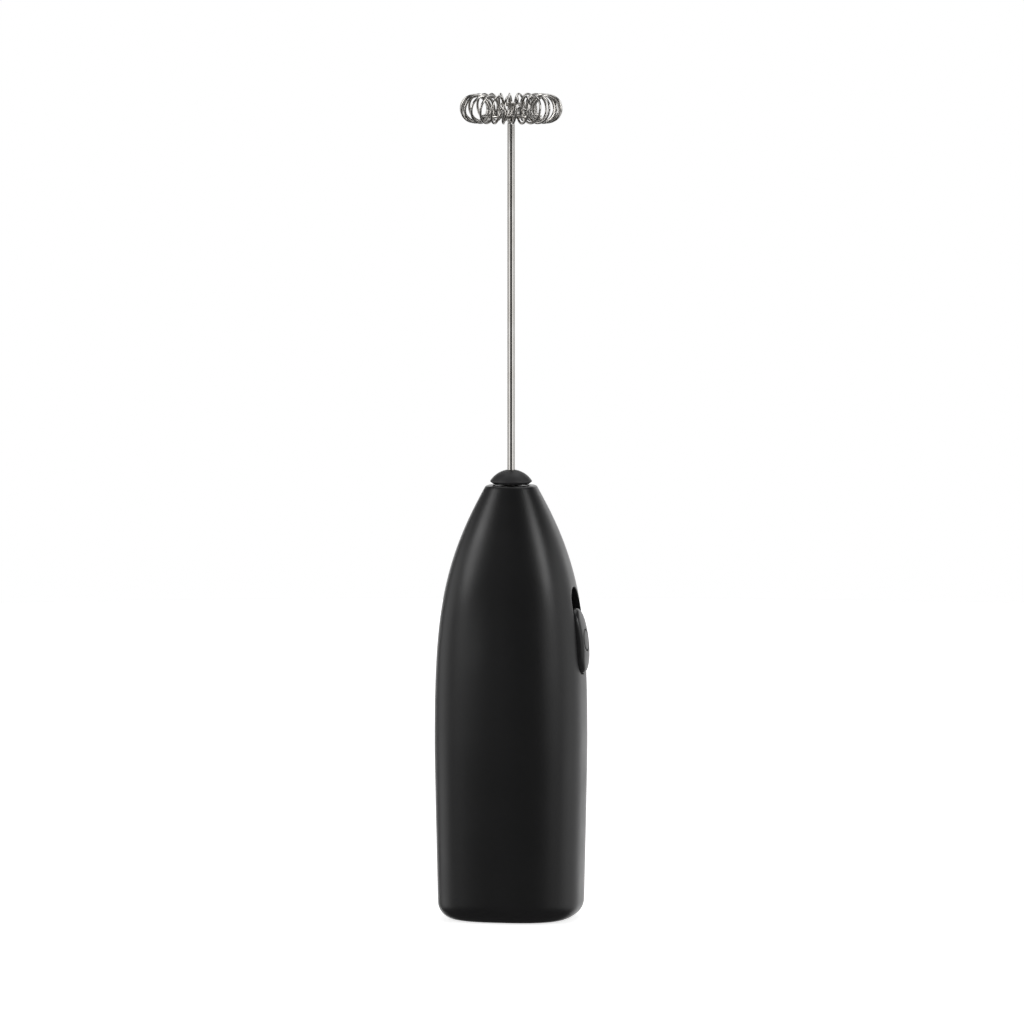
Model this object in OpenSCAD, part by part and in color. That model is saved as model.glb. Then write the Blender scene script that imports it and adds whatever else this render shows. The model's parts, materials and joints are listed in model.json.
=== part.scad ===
// Handheld battery milk frother: a bullet-shaped handle that stands on its flat base,
// a splash collar, a steel rod and a coiled-wire whisk.
// Origin: centre of the base's underside. +Z runs up the rod, +X points to the switch,
// +Y points to the battery door.

/* [Handle] */
// Height of the handle, from the base to the nose rim
body_h = 113.6; // [105:0.1:125]
// Widest width, across the switch
body_w = 39; // [36:0.1:44]
// Depth, front to back, where it is widest
body_d = 37; // [34:0.1:42]
// Width across the flat nose rim
nose_w = 13.1; // [11.5:0.1:15]
// Thickness of the shell's wall
wall = 1.8; // [1.4:0.1:2.2]
// Radius round the bottom edge
base_fillet = 4.5; // [2.5:0.1:6]
// Gap between neighbouring shells
seam_gap = 0.25; // [0.15:0.05:0.35]

/* [Battery compartment] */
// Diameter of one cell
cell_d = 14.2; // [13.5:0.1:14.5]
// Length of one cell without its button
cell_l = 49; // [45:0.1:50]
// How far the battery door reaches above the bulkhead over the cells
door_rise = 4.2; // [3:0.1:5]

/* [Motor] */
// Motor can, across its curved sides
motor_w = 20; // [18:0.1:20.5]
// Motor can, across its flats
motor_t = 15; // [13:0.1:15.5]
// Length of the motor with its end cap
motor_l = 25; // [22:0.1:25.5]

/* [Switch] */
// Height of the thumb button
button_h = 17.3; // [15:0.1:18]
// Width of the thumb button
button_w = 8.6; // [7:0.1:9]
// How far the button stands out of the shell
button_proud = 1.5; // [0.8:0.1:2]
// Distance the button slides from off to on
switch_travel = 5.2; // [4:0.1:5.6]

/* [Rod and whisk] */
// Diameter of the rod
rod_d = 2; // [1.8:0.1:2.5]
// Height of the whisk's middle above the base
whisk_z = 212.1; // [190:0.1:225]
// Outer diameter of the whisk
whisk_d = 26.9; // [22:0.1:30]
// Height of one loop of the whisk
loop_d = 7.6; // [6.5:0.1:8.5]
// Thickness of the whisk's wire
wire_d = 0.65; // [0.5:0.05:0.8]
// Turns round the whisk
whisk_turns = 25; // [20:1:27]
// Diameter of the splash collar's lip
collar_d = 10.9; // [10:0.1:12]

/* [Hidden] */

$fn = 48;
shell_color = [0.09, 0.09, 0.095];
frame_color = [0.85, 0.85, 0.82];
steel_color = [0.75, 0.76, 0.78];
brass_color = [0.80, 0.68, 0.38];

// Outer shape of the handle.
crown_z = body_h * 0.264;      // the crown's curve starts here
taper_z = body_h * 0.414;      // the sides draw in below here
taper = 0.048;                 // how much of the width they lose
crown_power = 4.5;
crown_root = 0.573;
rim_radius = 0.4;
seam_ratio = 0.29;             // where the parting line runs, as a share of the depth
nose_n = 2.1;                  // squareness of the section at the nose
base_n = 2.75;                 // and where it is widest
crown_reach = (body_h - crown_z)
    / pow(1 - pow(nose_w / body_w, crown_root), 1 / crown_power);

function crown(z) = z <= crown_z ? 1
    : pow(1 - pow((z - crown_z) / crown_reach, crown_power), 1 / crown_root);
function draw(z) = z >= taper_z ? 1 : 1 - taper * pow((taper_z - z) / taper_z, 1.2);
function fullness(z) = crown(z) * draw(z);
// Inset of a quarter-round edge of radius r, at distance h above its foot.
function edge_round(h, r) = h >= r ? 0 : r - sqrt(max(0, r * r - (r - h) * (r - h)));
function squareness(z) = nose_n + (base_n - nose_n) * pow(crown(z), 0.7);
function depth_ratio(z) = 1 + (body_d / body_w - 1) * crown(z);
function half_x(z) = body_w / 2 * fullness(z);
function half_y(z) = half_x(z) * depth_ratio(z);
function seam_y(z) = seam_ratio * half_y(z);
function signed_pow(v, p) = sign(v) * pow(abs(v), p);

// One point of the section at height z, set in from the outside by inset.
function skin_point(u, z, inset) = [
    (half_x(z) - inset) * signed_pow(cos(u), 2 / squareness(z)),
    (half_y(z) - inset) * signed_pow(sin(u), 2 / squareness(z)), z];
// Angle at which the section's outline crosses y.
function angle_at(y, z, inset) =
    asin(pow(max(0, min(1, y / (half_y(z) - inset))), squareness(z) / 2));
function outer_inset(z) = edge_round(z, base_fillet) + edge_round(body_h - z, rim_radius);
function inner_inset(z) = wall + edge_round(z - wall, base_fillet - wall);

// The door's top edge falls towards the front, so that it clears the rear shell as it opens.
// Levels near the edge fall with it, less and less with distance.
door_slope = 0.27;
slope_reach = 12;
function slope_drop(y, z) =
    door_slope * (half_y(door_top_z) - y) * max(0, 1 - abs(z - door_top_z) / slope_reach);
function rear_point(u, z, inset) =
    skin_point(u, z - slope_drop(skin_point(u, z, inset)[1], z), inset);

// A row of points on the section, from angle a to angle b.
function skin_arc(z, inset, a, b, steps) =
    [for (i = [0 : steps]) skin_point(a + (b - a) * i / steps, z, inset)];
function rear_arc(z, inset, a, b, steps) =
    [for (i = [0 : steps]) rear_point(a + (b - a) * i / steps, z, inset)];
// The front shell's section: outside from the left seam to the right, and back inside.
function front_loop(z, steps) =
    let (o = outer_inset(z), i = inner_inset(z),
        ao = angle_at(seam_y(z), z, o), ai = angle_at(seam_y(z), z, i))
    concat(skin_arc(z, o, -180 - ao, ao, steps), skin_arc(z, i, ai, -180 - ai, steps));
// The same for a piece behind the seam, gap away from it.
function rear_loop(z, steps, gap) =
    let (o = outer_inset(z), i = inner_inset(z), y = seam_y(z) + gap,
        ao = angle_at(y, z, o), ai = angle_at(y, z, i))
    concat(rear_arc(z, o, ao, 180 - ao, steps), rear_arc(z, i, 180 - ai, ai, steps));
function full_loop(z, inset, steps) =
    [for (i = [0 : steps - 1]) skin_point(360 * i / steps, z, inset)];

// Heights from a to b, about step apart.
function heights(a, b, step) =
    let (n = max(1, ceil((b - a) / step))) [for (i = [0 : n]) a + (b - a) * i / n];
rim_heights = [for (a = [0 : 30 : 90]) body_h - rim_radius * (1 - sin(a))];

// A closed solid through a stack of equal loops, each with an even number of points
// that run anticlockwise seen from above.
module loop_stack(loops) {
    n = len(loops[0]);
    last = len(loops) - 1;
    points = [for (loop = loops) each loop];
    sides = [for (k = [0 : last - 1]) for (i = [0 : n - 1])
        each [[k * n + i, (k + 1) * n + i, (k + 1) * n + (i + 1) % n],
            [k * n + i, (k + 1) * n + (i + 1) % n, k * n + (i + 1) % n]]];
    // Each end is closed by a ladder of rungs between opposite sides of its loop.
    bottom = [for (i = [0 : n / 2 - 2])
        each [[i, i + 1, n - 2 - i], [i, n - 2 - i, n - 1 - i]]];
    top = [for (i = [0 : n / 2 - 2])
        each [[n - 2 - i, i + 1, i] + last * [n, n, n], [n - 1 - i, n - 2 - i, i] + last * [n, n, n]]];
    polyhedron(points, concat(sides, bottom, top));
}

// A helical wire from height z0 to z1, winding at radius r(t) between r0 and r1.
module helix(r0, r1, z0, z1, turns, d) {
    steps = turns * 12;
    loop_stack([for (k = [0 : steps])
        let (t = k / steps, a = 360 * turns * t, r = r0 + (r1 - r0) * t,
            c = [r * cos(a), r * sin(a), z0 + d / 2 + (z1 - z0 - d) * t])
        [for (j = [0 : 5]) c + d / 2 * [cos(60 * j) * cos(a), cos(60 * j) * sin(a), -sin(60 * j)]]]);
}

// A round bar from a to b.
module bar(a, b, d) {
    v = b - a;
    translate(a)
        rotate([0, acos(v[2] / norm(v)), atan2(v[1], v[0])])
            cylinder(h = norm(v), d = d);
}

// A stiff wire through a list of points, with ball joints at its bends.
module wire(route, d) {
    for (i = [0 : len(route) - 2])
        bar(route[i], route[i + 1], d);
    for (i = [1 : len(route) - 2])
        translate(route[i]) sphere(d = d, $fn = 24);
}

// A soft lead through a list of points, eight-sided and mitred at its bends.
function unit(v) = v / norm(v);
module lead(route, d) {
    last = len(route) - 1;
    loop_stack([for (i = [0 : last])
        let (into = unit(route[max(i, 1)] - route[max(i, 1) - 1]),
            out = unit(route[min(i, last - 1) + 1] - route[min(i, last - 1)]),
            t = unit(into + out), a = unit(cross(t, [0.2, 1, 0.3])), b = cross(t, a))
        [for (k = [0 : 7]) route[i] + d / 2 * (a * cos(45 * k) + b * sin(45 * k))]]);
}

// A box from its low corner to its high corner.
module box(low, high) {
    translate(low) cube(high - low);
}

// A cylinder along +Y from a point.
module y_cylinder(from, h, d) {
    translate(from) rotate([-90, 0, 0]) cylinder(h = h, d = d);
}

module stadium_outline(w, h) {
    square([w, h - w], center = true);
    for (s = [-1, 1])
        translate([0, s * (h - w) / 2]) circle(d = w);
}

// A slab with an upright stadium outline, from the plane X = 0 towards +X.
module stadium(w, h, t) {
    rotate([90, 0, 90])
        linear_extrude(t)
            stadium_outline(w, h);
}

// Levels up the handle.
joint_z = 5;                              // the battery door starts above the base cup
tray_floor_z = 3.6;
tray_t = 1.6;
plate_t = 0.4;
plate_z = tray_floor_z + tray_t + 0.1;
spring_h = 3.3;
nub_h = 1.5;
nub_d = 5.2;
cell_gap = 0.8;
cell_x = (cell_d + cell_gap) / 2;
cell_z = plate_z + plate_t + spring_h;
cell_top = cell_z + cell_l;
top_plate_z = cell_top + spring_h;
bulkhead_z = top_plate_z + plate_t + 0.1;
bulkhead_top = bulkhead_z + tray_t;
door_top_z = bulkhead_z + door_rise;
motor_z = bulkhead_top + 5;
motor_top = motor_z + motor_l;
cap_h = 4.4;
can_t = 0.5;
boss_d = 6.1;
boss_h = 1.6;
shaft_d = 2;
turn_fit = 0.05;                          // radial clearance of everything that turns
bush_l = 6.1;
bush_top = body_h - 0.1;
bush_z = bush_top - bush_l;
coupling_z = motor_top + boss_h + 0.8;
coupling_l = bush_z - 0.6 - coupling_z;   // the coupling fills the space that the motor leaves
coupling_d = 5;
shaft_end = coupling_z + 0.6 * coupling_l;
bush_d = nose_w - 2 * wall - 0.6;
flange_d = 12;
flange_h = 1.4;
seal_d = 5.6;
seal_h = 1.2;
collar_z = body_h + 0.4;
collar_h = 3.8;
rod_foot = shaft_end + 0.2;
loop_r = (loop_d - wire_d) / 2;
loop_centre = whisk_d / 2 - loop_d / 2;
prong_d = 0.8;
rod_top = whisk_z - loop_d / 2;
hub_d = 5.4;
hub_z = whisk_z + 0.7;
hub_h = 1.1;

// ---- Shells and door ----

base_steps = 44;
front_steps = 28;
rear_steps = 18;
ring_step = 4.6;
door_foot = joint_z + seam_gap;
hinge_y = half_y(joint_z) + 0.05;
hinge_z = joint_z + seam_gap / 2;

// Bosses on the front shell: for the tray on the middle line, for the cradle beside it.
screw_d = 2;
screw_l = 5.5;
head_d = 3.8;
head_h = 1.1;
screw_boss_d = 4.4;
tray_y = -(cell_d / 2 + 0.5);
tray_back = tray_y - tray_t;
tray_screw_z = [cell_z + 9, cell_top - 9];
cradle_t = 1.4;
cradle_y = -(motor_w / 2 + 0.2);
cradle_back = cradle_y - cradle_t;
cradle_screw_x = 7;
cradle_screw_z = motor_z - 0.4;

module base_cup() {
    outer = [for (a = [0 : 15 : 75]) base_fillet * (1 - cos(a))];
    inner = [for (a = [75 : -15 : 0]) wall + (base_fillet - wall) * (1 - cos(a))];
    loop_stack(concat(
        [for (z = outer) full_loop(z, outer_inset(z), base_steps)],
        [full_loop(joint_z, 0, base_steps), full_loop(joint_z, wall, base_steps)],
        [for (z = inner) full_loop(z, inner_inset(z), base_steps)]));
}

// Switch frame: X out of the shell, Z along the slide, zero at the button's middle.
slot_fit = 0.25;
slot_h = button_h + switch_travel + 2 * slot_fit;
slot_w = button_w + 2 * slot_fit;
switch_rise = 4.85;                       // the button sits this far above the motor's foot
button_z = motor_z + switch_rise;
tilt = atan((half_x(button_z - 6) - half_x(button_z + 14)) / 20);
switch_x = half_x(button_z);
module at_switch() {
    translate([switch_x, 0, button_z])
        rotate([0, -tilt, 0])
            children();
}

module front_shell() {
    tray_boss = -half_y(cell_z) + wall / 2;
    cradle_boss = -half_y(cradle_screw_z) + wall;
    color(shell_color)
        difference() {
            union() {
                loop_stack([for (z = concat(heights(joint_z, body_h - rim_radius - 2, ring_step),
                    rim_heights)) front_loop(z, front_steps)]);
                base_cup();
                for (z = tray_screw_z)
                    y_cylinder([0, tray_boss, z], tray_back - tray_boss, screw_boss_d);
                for (s = [-1, 1])
                    y_cylinder([s * cradle_screw_x, cradle_boss, cradle_screw_z],
                        cradle_back - cradle_boss, screw_boss_d);
            }
            at_switch()
                translate([-5, 0, switch_travel / 2]) stadium(slot_w, slot_h, 9);
            for (z = tray_screw_z)
                y_cylinder([0, tray_back - screw_l + tray_t, z], screw_l, screw_d);
            for (s = [-1, 1])
                y_cylinder([s * cradle_screw_x, cradle_y - screw_l, cradle_screw_z], screw_l, screw_d);
        }
}

// The rear shell's tab hangs inside the door's top edge and takes a screw.
tab_w = 10;
tab_t = 1.6;
tab_y = half_y(door_top_z) - wall - 2.8;
tab_foot = bulkhead_z + 0.1;
rear_screw_z = bulkhead_top + 0.8;
module rear_shell() {
    z0 = door_top_z + seam_gap;
    color(shell_color)
        difference() {
            union() {
                loop_stack([for (z = concat(heights(z0, body_h - rim_radius - 2, ring_step),
                    rim_heights)) rear_loop(z, rear_steps, seam_gap)]);
                box([-tab_w / 2, tab_y, tab_foot], [tab_w / 2, tab_y + tab_t, z0 + 3.2]);
                box([-tab_w / 2, tab_y, z0 + 1.2],
                    [tab_w / 2, half_y(z0 + 3.2) - wall * 0.7, z0 + 3.2]);
            }
            y_cylinder([0, tab_y - 1, rear_screw_z], tab_t + 2, screw_d);
        }
}

// The door hooks into the base cup with a tongue and tips out about its outer bottom edge.
tongue_w = 10;
tongue_y = half_y(joint_z) - wall - 2;
grip_w = 12;
grip_d = 3;
module battery_door() {
    color(shell_color)
        difference() {
            union() {
                loop_stack([for (z = heights(door_foot, door_top_z, ring_step))
                    rear_loop(z, rear_steps, seam_gap)]);
                box([-tongue_w / 2, tongue_y, joint_z - 1.6],
                    [tongue_w / 2, tongue_y + 1.4, door_foot + 2.4]);
                box([-tongue_w / 2, tongue_y, door_foot + 0.6],
                    [tongue_w / 2, half_y(joint_z) - wall * 0.7, door_foot + 2.4]);
            }
            // A groove for a thumbnail near the top edge.
            for (k = [0 : 2])
                translate([-grip_w / 2, half_y(door_top_z) + grip_d * 0.32, door_top_z - 4 - 3 * k])
                    rotate([0, 90, 0]) cylinder(h = grip_w, d = grip_d);
        }
}

// ---- Frame inside ----

tray_w = cell_d * 2 + cell_gap;
tray_back_w = tray_w - 4.4;               // narrower at the back, clear of the shell's corners
tail_x = tray_w / 2 - 1.1;
tail_y = 4;
module battery_tray() {
    // The upper shelf stops short of the switch's slider.
    slider_reach = switch_x + (slider_x - slider_t) * cos(tilt) + (button_z - bulkhead_top) * sin(tilt);
    shelf_x = min(tray_w / 2, slider_reach - 0.1);
    color(frame_color)
        difference() {
            union() {
                box([-tray_back_w / 2, tray_back, tray_floor_z], [tray_back_w / 2, tray_y, bulkhead_top]);
                for (shelf = [[tray_w / 2, tray_floor_z], [shelf_x, bulkhead_z]]) {
                    z = shelf[1];
                    box([-shelf[0], tray_y + 1.4, z], [shelf[0], cell_d / 2, z + tray_t]);
                    box([-tray_back_w / 2, tray_back, z], [tray_back_w / 2, cell_d / 2 + 1, z + tray_t]);
                }
                y_cylinder([0, cell_d / 2, rear_screw_z], tab_y - cell_d / 2, screw_boss_d);
            }
            for (z = tray_screw_z)
                y_cylinder([0, tray_back - 1, z], tray_t + 2, screw_d);
            y_cylinder([0, tab_y - screw_l, rear_screw_z], screw_l + 1, screw_d);
            for (s = [-1, 1])
                box([s * tail_x - 0.5, tail_y - 1.3, bulkhead_z - 1],
                    [s * tail_x + 0.5, tail_y + 1.3, bulkhead_top + 1]);
        }
}

cheek_x = motor_t / 2 + 0.1;
cheek_z = motor_z + 3.6;
cradle_top = motor_z + 17.6;
floor_z = bulkhead_top + 0.1;
module motor_cradle() {
    w = cheek_x + cradle_t;
    color(frame_color)
        difference() {
            union() {
                box([-w, cradle_back, floor_z], [w, cradle_y, cradle_top]);
                box([-w, cradle_back, floor_z], [w, cell_d / 2 - 0.2, floor_z + tray_t]);
                for (s = [-1, 1]) {
                    translate([s * (cheek_x + cradle_t / 2), 0, 0])
                        box([-cradle_t / 2, cradle_back, cheek_z], [cradle_t / 2, 6, cradle_top]);
                    translate([s * 5.6, 0, 0])
                        box([-1, -2, floor_z], [1, 2, motor_z]);
                }
            }
            for (s = [-1, 1])
                y_cylinder([s * cradle_screw_x, cradle_back - 1, cradle_screw_z],
                    cradle_t + 2, screw_d);
        }
}

// A screw along Y with its head's underside at the given point, pointing to -Y.
module screw(at, l) {
    y_cylinder(at - [0, l, 0], l + head_h / 3, screw_d);
    difference() {
        y_cylinder(at, head_h, head_d);
        translate(at + [-head_d, head_h - 0.5, -0.3]) cube([2 * head_d, 1, 0.6]);
        translate(at + [-0.3, head_h - 0.5, -head_d]) cube([0.6, 1, 2 * head_d]);
    }
}

module tray_screws() {
    color(steel_color)
        for (z = tray_screw_z)
            screw([0, tray_y, z], screw_l);
}

module cradle_screws() {
    color(steel_color)
        for (s = [-1, 1])
            screw([s * cradle_screw_x, cradle_y, cradle_screw_z], screw_l);
}

module rear_screw() {
    color(steel_color)
        screw([0, tab_y + tab_t, rear_screw_z], screw_l + tab_t);
}

// ---- Cells and contacts ----

module cell(x, up) {
    translate([x, 0, 0]) {
        translate([0, 0, cell_z]) cylinder(h = cell_l, d = cell_d);
        translate([0, 0, up ? cell_top : cell_z - nub_h]) cylinder(h = nub_h, d = nub_d);
    }
}
module cell_left() { color([0.15, 0.35, 0.6]) cell(-cell_x, true); }
module cell_right() { color([0.15, 0.35, 0.6]) cell(cell_x, false); }

// The bridge joins the two cells at the foot: flat under the spring, raised under the nub.
module cell_bridge() {
    color(steel_color) {
        box([-cell_x - 4.5, -3.5, plate_z], [cell_x + 4.5, 3.5, plate_z + plate_t]);
        translate([cell_x, 0, plate_z + plate_t])
            cylinder(h = spring_h - nub_h, d = nub_d + 1);
    }
}

module cell_spring() {
    color(steel_color)
        translate([-cell_x, 0, 0])
            helix(4, 2.2, plate_z + plate_t, cell_z, 3, 0.7);
}

module negative_spring() {
    color(steel_color)
        translate([cell_x, 0, 0])
            helix(2.2, 4, cell_top, top_plate_z, 3, 0.7);
}

// A contact plate under the bulkhead, with a solder tail up through it.
module top_plate(s) {
    box([s * cell_x - 4.5, -3.5, top_plate_z], [s * cell_x + 4.5, 3.5, top_plate_z + plate_t]);
    box([min(s * tail_x, s * cell_x) - 0.2, tail_y - 1, top_plate_z],
        [max(s * tail_x, s * cell_x) + 0.2, tail_y + 1, top_plate_z + plate_t]);
    box([s * tail_x - 0.2, tail_y - 1, top_plate_z], [s * tail_x + 0.2, tail_y + 1, lead_z]);
}
module negative_contact() { color(brass_color) top_plate(1); }
module positive_contact() {
    color(brass_color) {
        top_plate(-1);
        translate([-cell_x, 0, cell_top + nub_h])
            cylinder(h = spring_h - nub_h, d = nub_d + 1);
    }
}

// ---- Motor ----

module motor_outline(inset) {
    intersection() {
        circle(d = motor_w - 2 * inset);
        square([motor_t - 2 * inset, motor_w], center = true);
    }
}

module motor_can() {
    color(steel_color)
        difference() {
            union() {
                translate([0, 0, motor_z + cap_h])
                    linear_extrude(motor_l - cap_h) motor_outline(0);
                translate([0, 0, motor_top]) cylinder(h = boss_h, d = boss_d);
            }
            translate([0, 0, motor_z + cap_h - 1])
                linear_extrude(motor_l - cap_h + 1 - can_t) motor_outline(can_t);
            translate([0, 0, motor_top - 2])
                cylinder(h = boss_h + 4, d = shaft_d + 2 * turn_fit);
        }
}

module motor_end_cap() {
    color([0.92, 0.92, 0.9])
        difference() {
            translate([0, 0, motor_z]) linear_extrude(cap_h) motor_outline(0.05);
            translate([0, 0, motor_z + 1.8]) linear_extrude(cap_h) motor_outline(1.2);
            translate([0, 0, motor_z - 1]) cylinder(h = 4, d = shaft_d + 2 * turn_fit);
        }
}

magnet_in = 6.7;
magnet_h = 13;
magnet_z = motor_z + 7;
module motor_magnets() {
    outer = motor_w / 2 - can_t;
    color([0.2, 0.2, 0.21])
        for (s = [0, 180])
            rotate([0, 0, s])
                translate([0, 0, magnet_z])
                    linear_extrude(magnet_h)
                        intersection() {
                            difference() {
                                circle(r = outer);
                                circle(r = magnet_in);
                            }
                            translate([0, outer / 2 + 2])
                                square([motor_t - 2 * can_t - 0.2, outer], center = true);
                        }
}

terminal_y = 6.5;
lead_z = motor_z - 2.2;
module motor_terminals() {
    color(brass_color)
        for (s = [-1, 1])
            translate([0, s * terminal_y, 0])
                box([-1, -0.25, motor_z - 3], [1, 0.25, motor_z]);
}

module noise_capacitor() {
    color([0.8, 0.5, 0.2]) {
        translate([0, 0, lead_z - 0.7]) cylinder(h = 1.8, d = 4.6);
        for (s = [-1, 1])
            bar([0, s * 2, lead_z], [0, s * (terminal_y - 0.25), lead_z], 0.5);
    }
}

module rotor_shaft() {
    color(steel_color)
        translate([0, 0, motor_z + 0.3])
            cylinder(h = shaft_end - motor_z - 0.3, d = shaft_d);
}

rotor_d = 12.6;
rotor_h = 9;
rotor_z = motor_z + 9;
module rotor_core() {
    color([0.5, 0.5, 0.52])
        translate([0, 0, rotor_z])
            linear_extrude(rotor_h)
                difference() {
                    union() {
                        circle(d = 4.4);
                        for (a = [0, 120, 240])
                            rotate(a) {
                                translate([0, -1]) square([rotor_d / 2 - 1, 2]);
                                intersection() {
                                    difference() {
                                        circle(d = rotor_d);
                                        circle(d = rotor_d - 2.4);
                                    }
                                    translate([rotor_d / 2, 0]) square([8, 8.6], center = true);
                                }
                            }
                    }
                    circle(d = shaft_d);
                }
}

module rotor_windings() {
    color([0.72, 0.36, 0.16])
        for (a = [0, 120, 240])
            rotate([0, 0, a])
                translate([0, 0, rotor_z - 0.9])
                    difference() {
                        box([2.45, -1.9, 0], [4.6, 1.9, rotor_h + 1.8]);
                        box([2, -1, 0.9], [5.5, 1, rotor_h + 0.9]);
                    }
}

module commutator() {
    color([0.72, 0.42, 0.2])
        translate([0, 0, motor_z + 3.2])
            difference() {
                cylinder(h = 4.4, d = 4.6);
                translate([0, 0, -1]) cylinder(h = 7, d = shaft_d);
                for (a = [60, 180, 300])
                    rotate([0, 0, a]) translate([1.6, -0.15, -1]) cube([3, 0.3, 4.6]);
            }
}

module motor_brushes() {
    color(brass_color)
        for (s = [-1, 1])
            translate([0, s * 2.45, 0])
                box([-1.2, -0.1, motor_z + 1.8], [1.2, 0.1, motor_z + 5.4]);
}

// ---- Rod and whisk ----

module nose_bush() {
    color([0.16, 0.16, 0.16])
        difference() {
            union() {
                translate([0, 0, bush_z]) cylinder(h = flange_h, d = flange_d);
                translate([0, 0, bush_z]) cylinder(h = bush_top - bush_z, d = bush_d);
            }
            translate([0, 0, bush_z - 1]) cylinder(h = body_h, d = rod_d + 2 * turn_fit);
            translate([0, 0, bush_top - seal_h]) cylinder(h = seal_h + 1, d = seal_d);
        }
}

module nose_seal() {
    color([0.1, 0.1, 0.1])
        difference() {
            translate([0, 0, bush_top - seal_h]) cylinder(h = seal_h, d = seal_d);
            translate([0, 0, bush_z]) cylinder(h = body_h, d = rod_d + 2 * turn_fit);
        }
}

module shaft_coupling() {
    color([0.9, 0.9, 0.88])
        difference() {
            translate([0, 0, coupling_z]) cylinder(h = coupling_l, d = coupling_d);
            translate([0, 0, coupling_z - 1])
                cylinder(h = rod_foot - coupling_z + 1, d = shaft_d);
            translate([0, 0, rod_foot]) cylinder(h = coupling_l, d = rod_d);
        }
}

module whisk_rod() {
    color(steel_color)
        translate([0, 0, rod_foot]) cylinder(h = rod_top - rod_foot, d = rod_d);
}

// The collar is a dome over a thin lip.
lip_z = 0.6;
lip_t = 0.25;
dome_h = collar_h - lip_z - lip_t;
dome_r = (collar_d * collar_d / 4 + dome_h * dome_h) / (2 * dome_h);
module splash_collar() {
    edge = asin(collar_d / 2 / dome_r);
    crown = asin(rod_d / 2 / dome_r);
    arc = [for (i = [0 : 6])
        let (a = edge + (crown - edge) * i / 6)
        [dome_r * sin(a), collar_h - dome_r + dome_r * cos(a)]];
    color([0.2, 0.2, 0.2])
        translate([0, 0, collar_z])
            rotate_extrude()
                polygon(concat([[rod_d / 2, 0], [collar_d / 2 - 0.8, 0],
                    [collar_d / 2, lip_z]], arc));
}

ring_gap = loop_r - wire_d / 2 - prong_d / 2 - 0.08;
ring_r = loop_centre - ring_gap * cos(45);
ring_z = whisk_z - ring_gap * sin(45);
module whisk_ring() {
    color(steel_color)
        translate([0, 0, ring_z])
            rotate_extrude() translate([ring_r, 0]) circle(d = prong_d);
}

// The prongs pass between two turns of the coil.
turn_pitch = 360 / whisk_turns;
module whisk_prongs() {
    color(steel_color)
        for (a = [35, 155, 275])
            rotate([0, 0, turn_pitch * (round(a / turn_pitch) + 0.05)])
                wire([[0.5, 0, rod_top], [hub_d / 2 - 0.6, 0, hub_z - prong_d / 2], [ring_r, 0, ring_z]],
                    prong_d);
}

module whisk_hub() {
    color(steel_color)
        translate([0, 0, hub_z]) cylinder(h = hub_h, d = hub_d);
}

// The wire winds round a circle, one loop after another, and closes on itself.
loop_steps = 12;
wire_sides = 5;
module whisk_coil() {
    count = whisk_turns * loop_steps;
    points = [for (k = [0 : count - 1])
        let (a = 360 * k / count, f = 360 * k / loop_steps,
            out = [cos(f) * cos(a), cos(f) * sin(a), sin(f)],
            along = [-sin(f) * cos(a) * loop_r * whisk_turns - (loop_centre + loop_r * cos(f)) * sin(a),
                -sin(f) * sin(a) * loop_r * whisk_turns + (loop_centre + loop_r * cos(f)) * cos(a),
                cos(f) * loop_r * whisk_turns],
            side = cross(out, along / norm(along)),
            c = [loop_centre * cos(a), loop_centre * sin(a), whisk_z] + loop_r * out)
        for (j = [0 : wire_sides - 1])
            c + wire_d / 2 * (out * cos(360 * j / wire_sides) + side * sin(360 * j / wire_sides))];
    n = len(points);
    faces = [for (k = [0 : count - 1]) for (j = [0 : wire_sides - 1])
        let (p = k * wire_sides + j, q = k * wire_sides + (j + 1) % wire_sides)
        each [[p, (q + wire_sides) % n, (p + wire_sides) % n], [p, q, (q + wire_sides) % n]]];
    color(steel_color)
        polyhedron(points, faces);
}

// ---- Switch ----

crown_sag = 1.15;
slider_x = -3.9;
slider_t = 1.2;
slider_w = 11.4;
slider_low = -slot_h / 2 + switch_travel / 2 - switch_travel - 0.3;
slider_high = slot_h / 2 + switch_travel / 2 + 0.5;
ring_d = 5.9;
module switch_button() {
    arc_r = (button_h * button_h / 4 + crown_sag * crown_sag) / (2 * crown_sag);
    color([0.25, 0.25, 0.26])
        at_switch()
            difference() {
                intersection() {
                    translate([slider_x, 0, 0]) stadium(button_w, button_h, button_proud - slider_x);
                    translate([button_proud - arc_r, 0, 0])
                        rotate([90, 0, 0]) cylinder(h = button_w + 1, r = arc_r, center = true, $fn = 180);
                }
                translate([button_proud - 0.3, 0, 0])
                    rotate([0, 90, 0])
                        difference() {
                            cylinder(h = 1, d = ring_d);
                            translate([0, 0, -1]) cylinder(h = 3, d = ring_d - 0.8);
                        }
            }
}

module switch_slider() {
    color(frame_color)
        at_switch()
            box([slider_x - slider_t, -slider_w / 2, slider_low],
                [slider_x, slider_w / 2, slider_high]);
}

contact_w = 2;
contact_y = 2.4;
finger_z = 2;
module sliding_contact() {
    x = slider_x - slider_t;
    strip_x = cheek_x + cradle_t + plate_t;
    on_z = finger_z + switch_travel;
    // The fingers stop just short of the strips when the switch is on.
    tip = (strip_x + 0.16 - switch_x + on_z * sin(tilt)) / cos(tilt);
    color(brass_color)
        at_switch() {
            box([x - plate_t, -4, finger_z - 4], [x, 4, finger_z + 2]);
            for (s = [-1, 1])
                translate([0, s * contact_y, 0])
                    box([tip, -contact_w / 2, finger_z - 0.2],
                        [x - plate_t, contact_w / 2, finger_z + 0.2]);
        }
}

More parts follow.
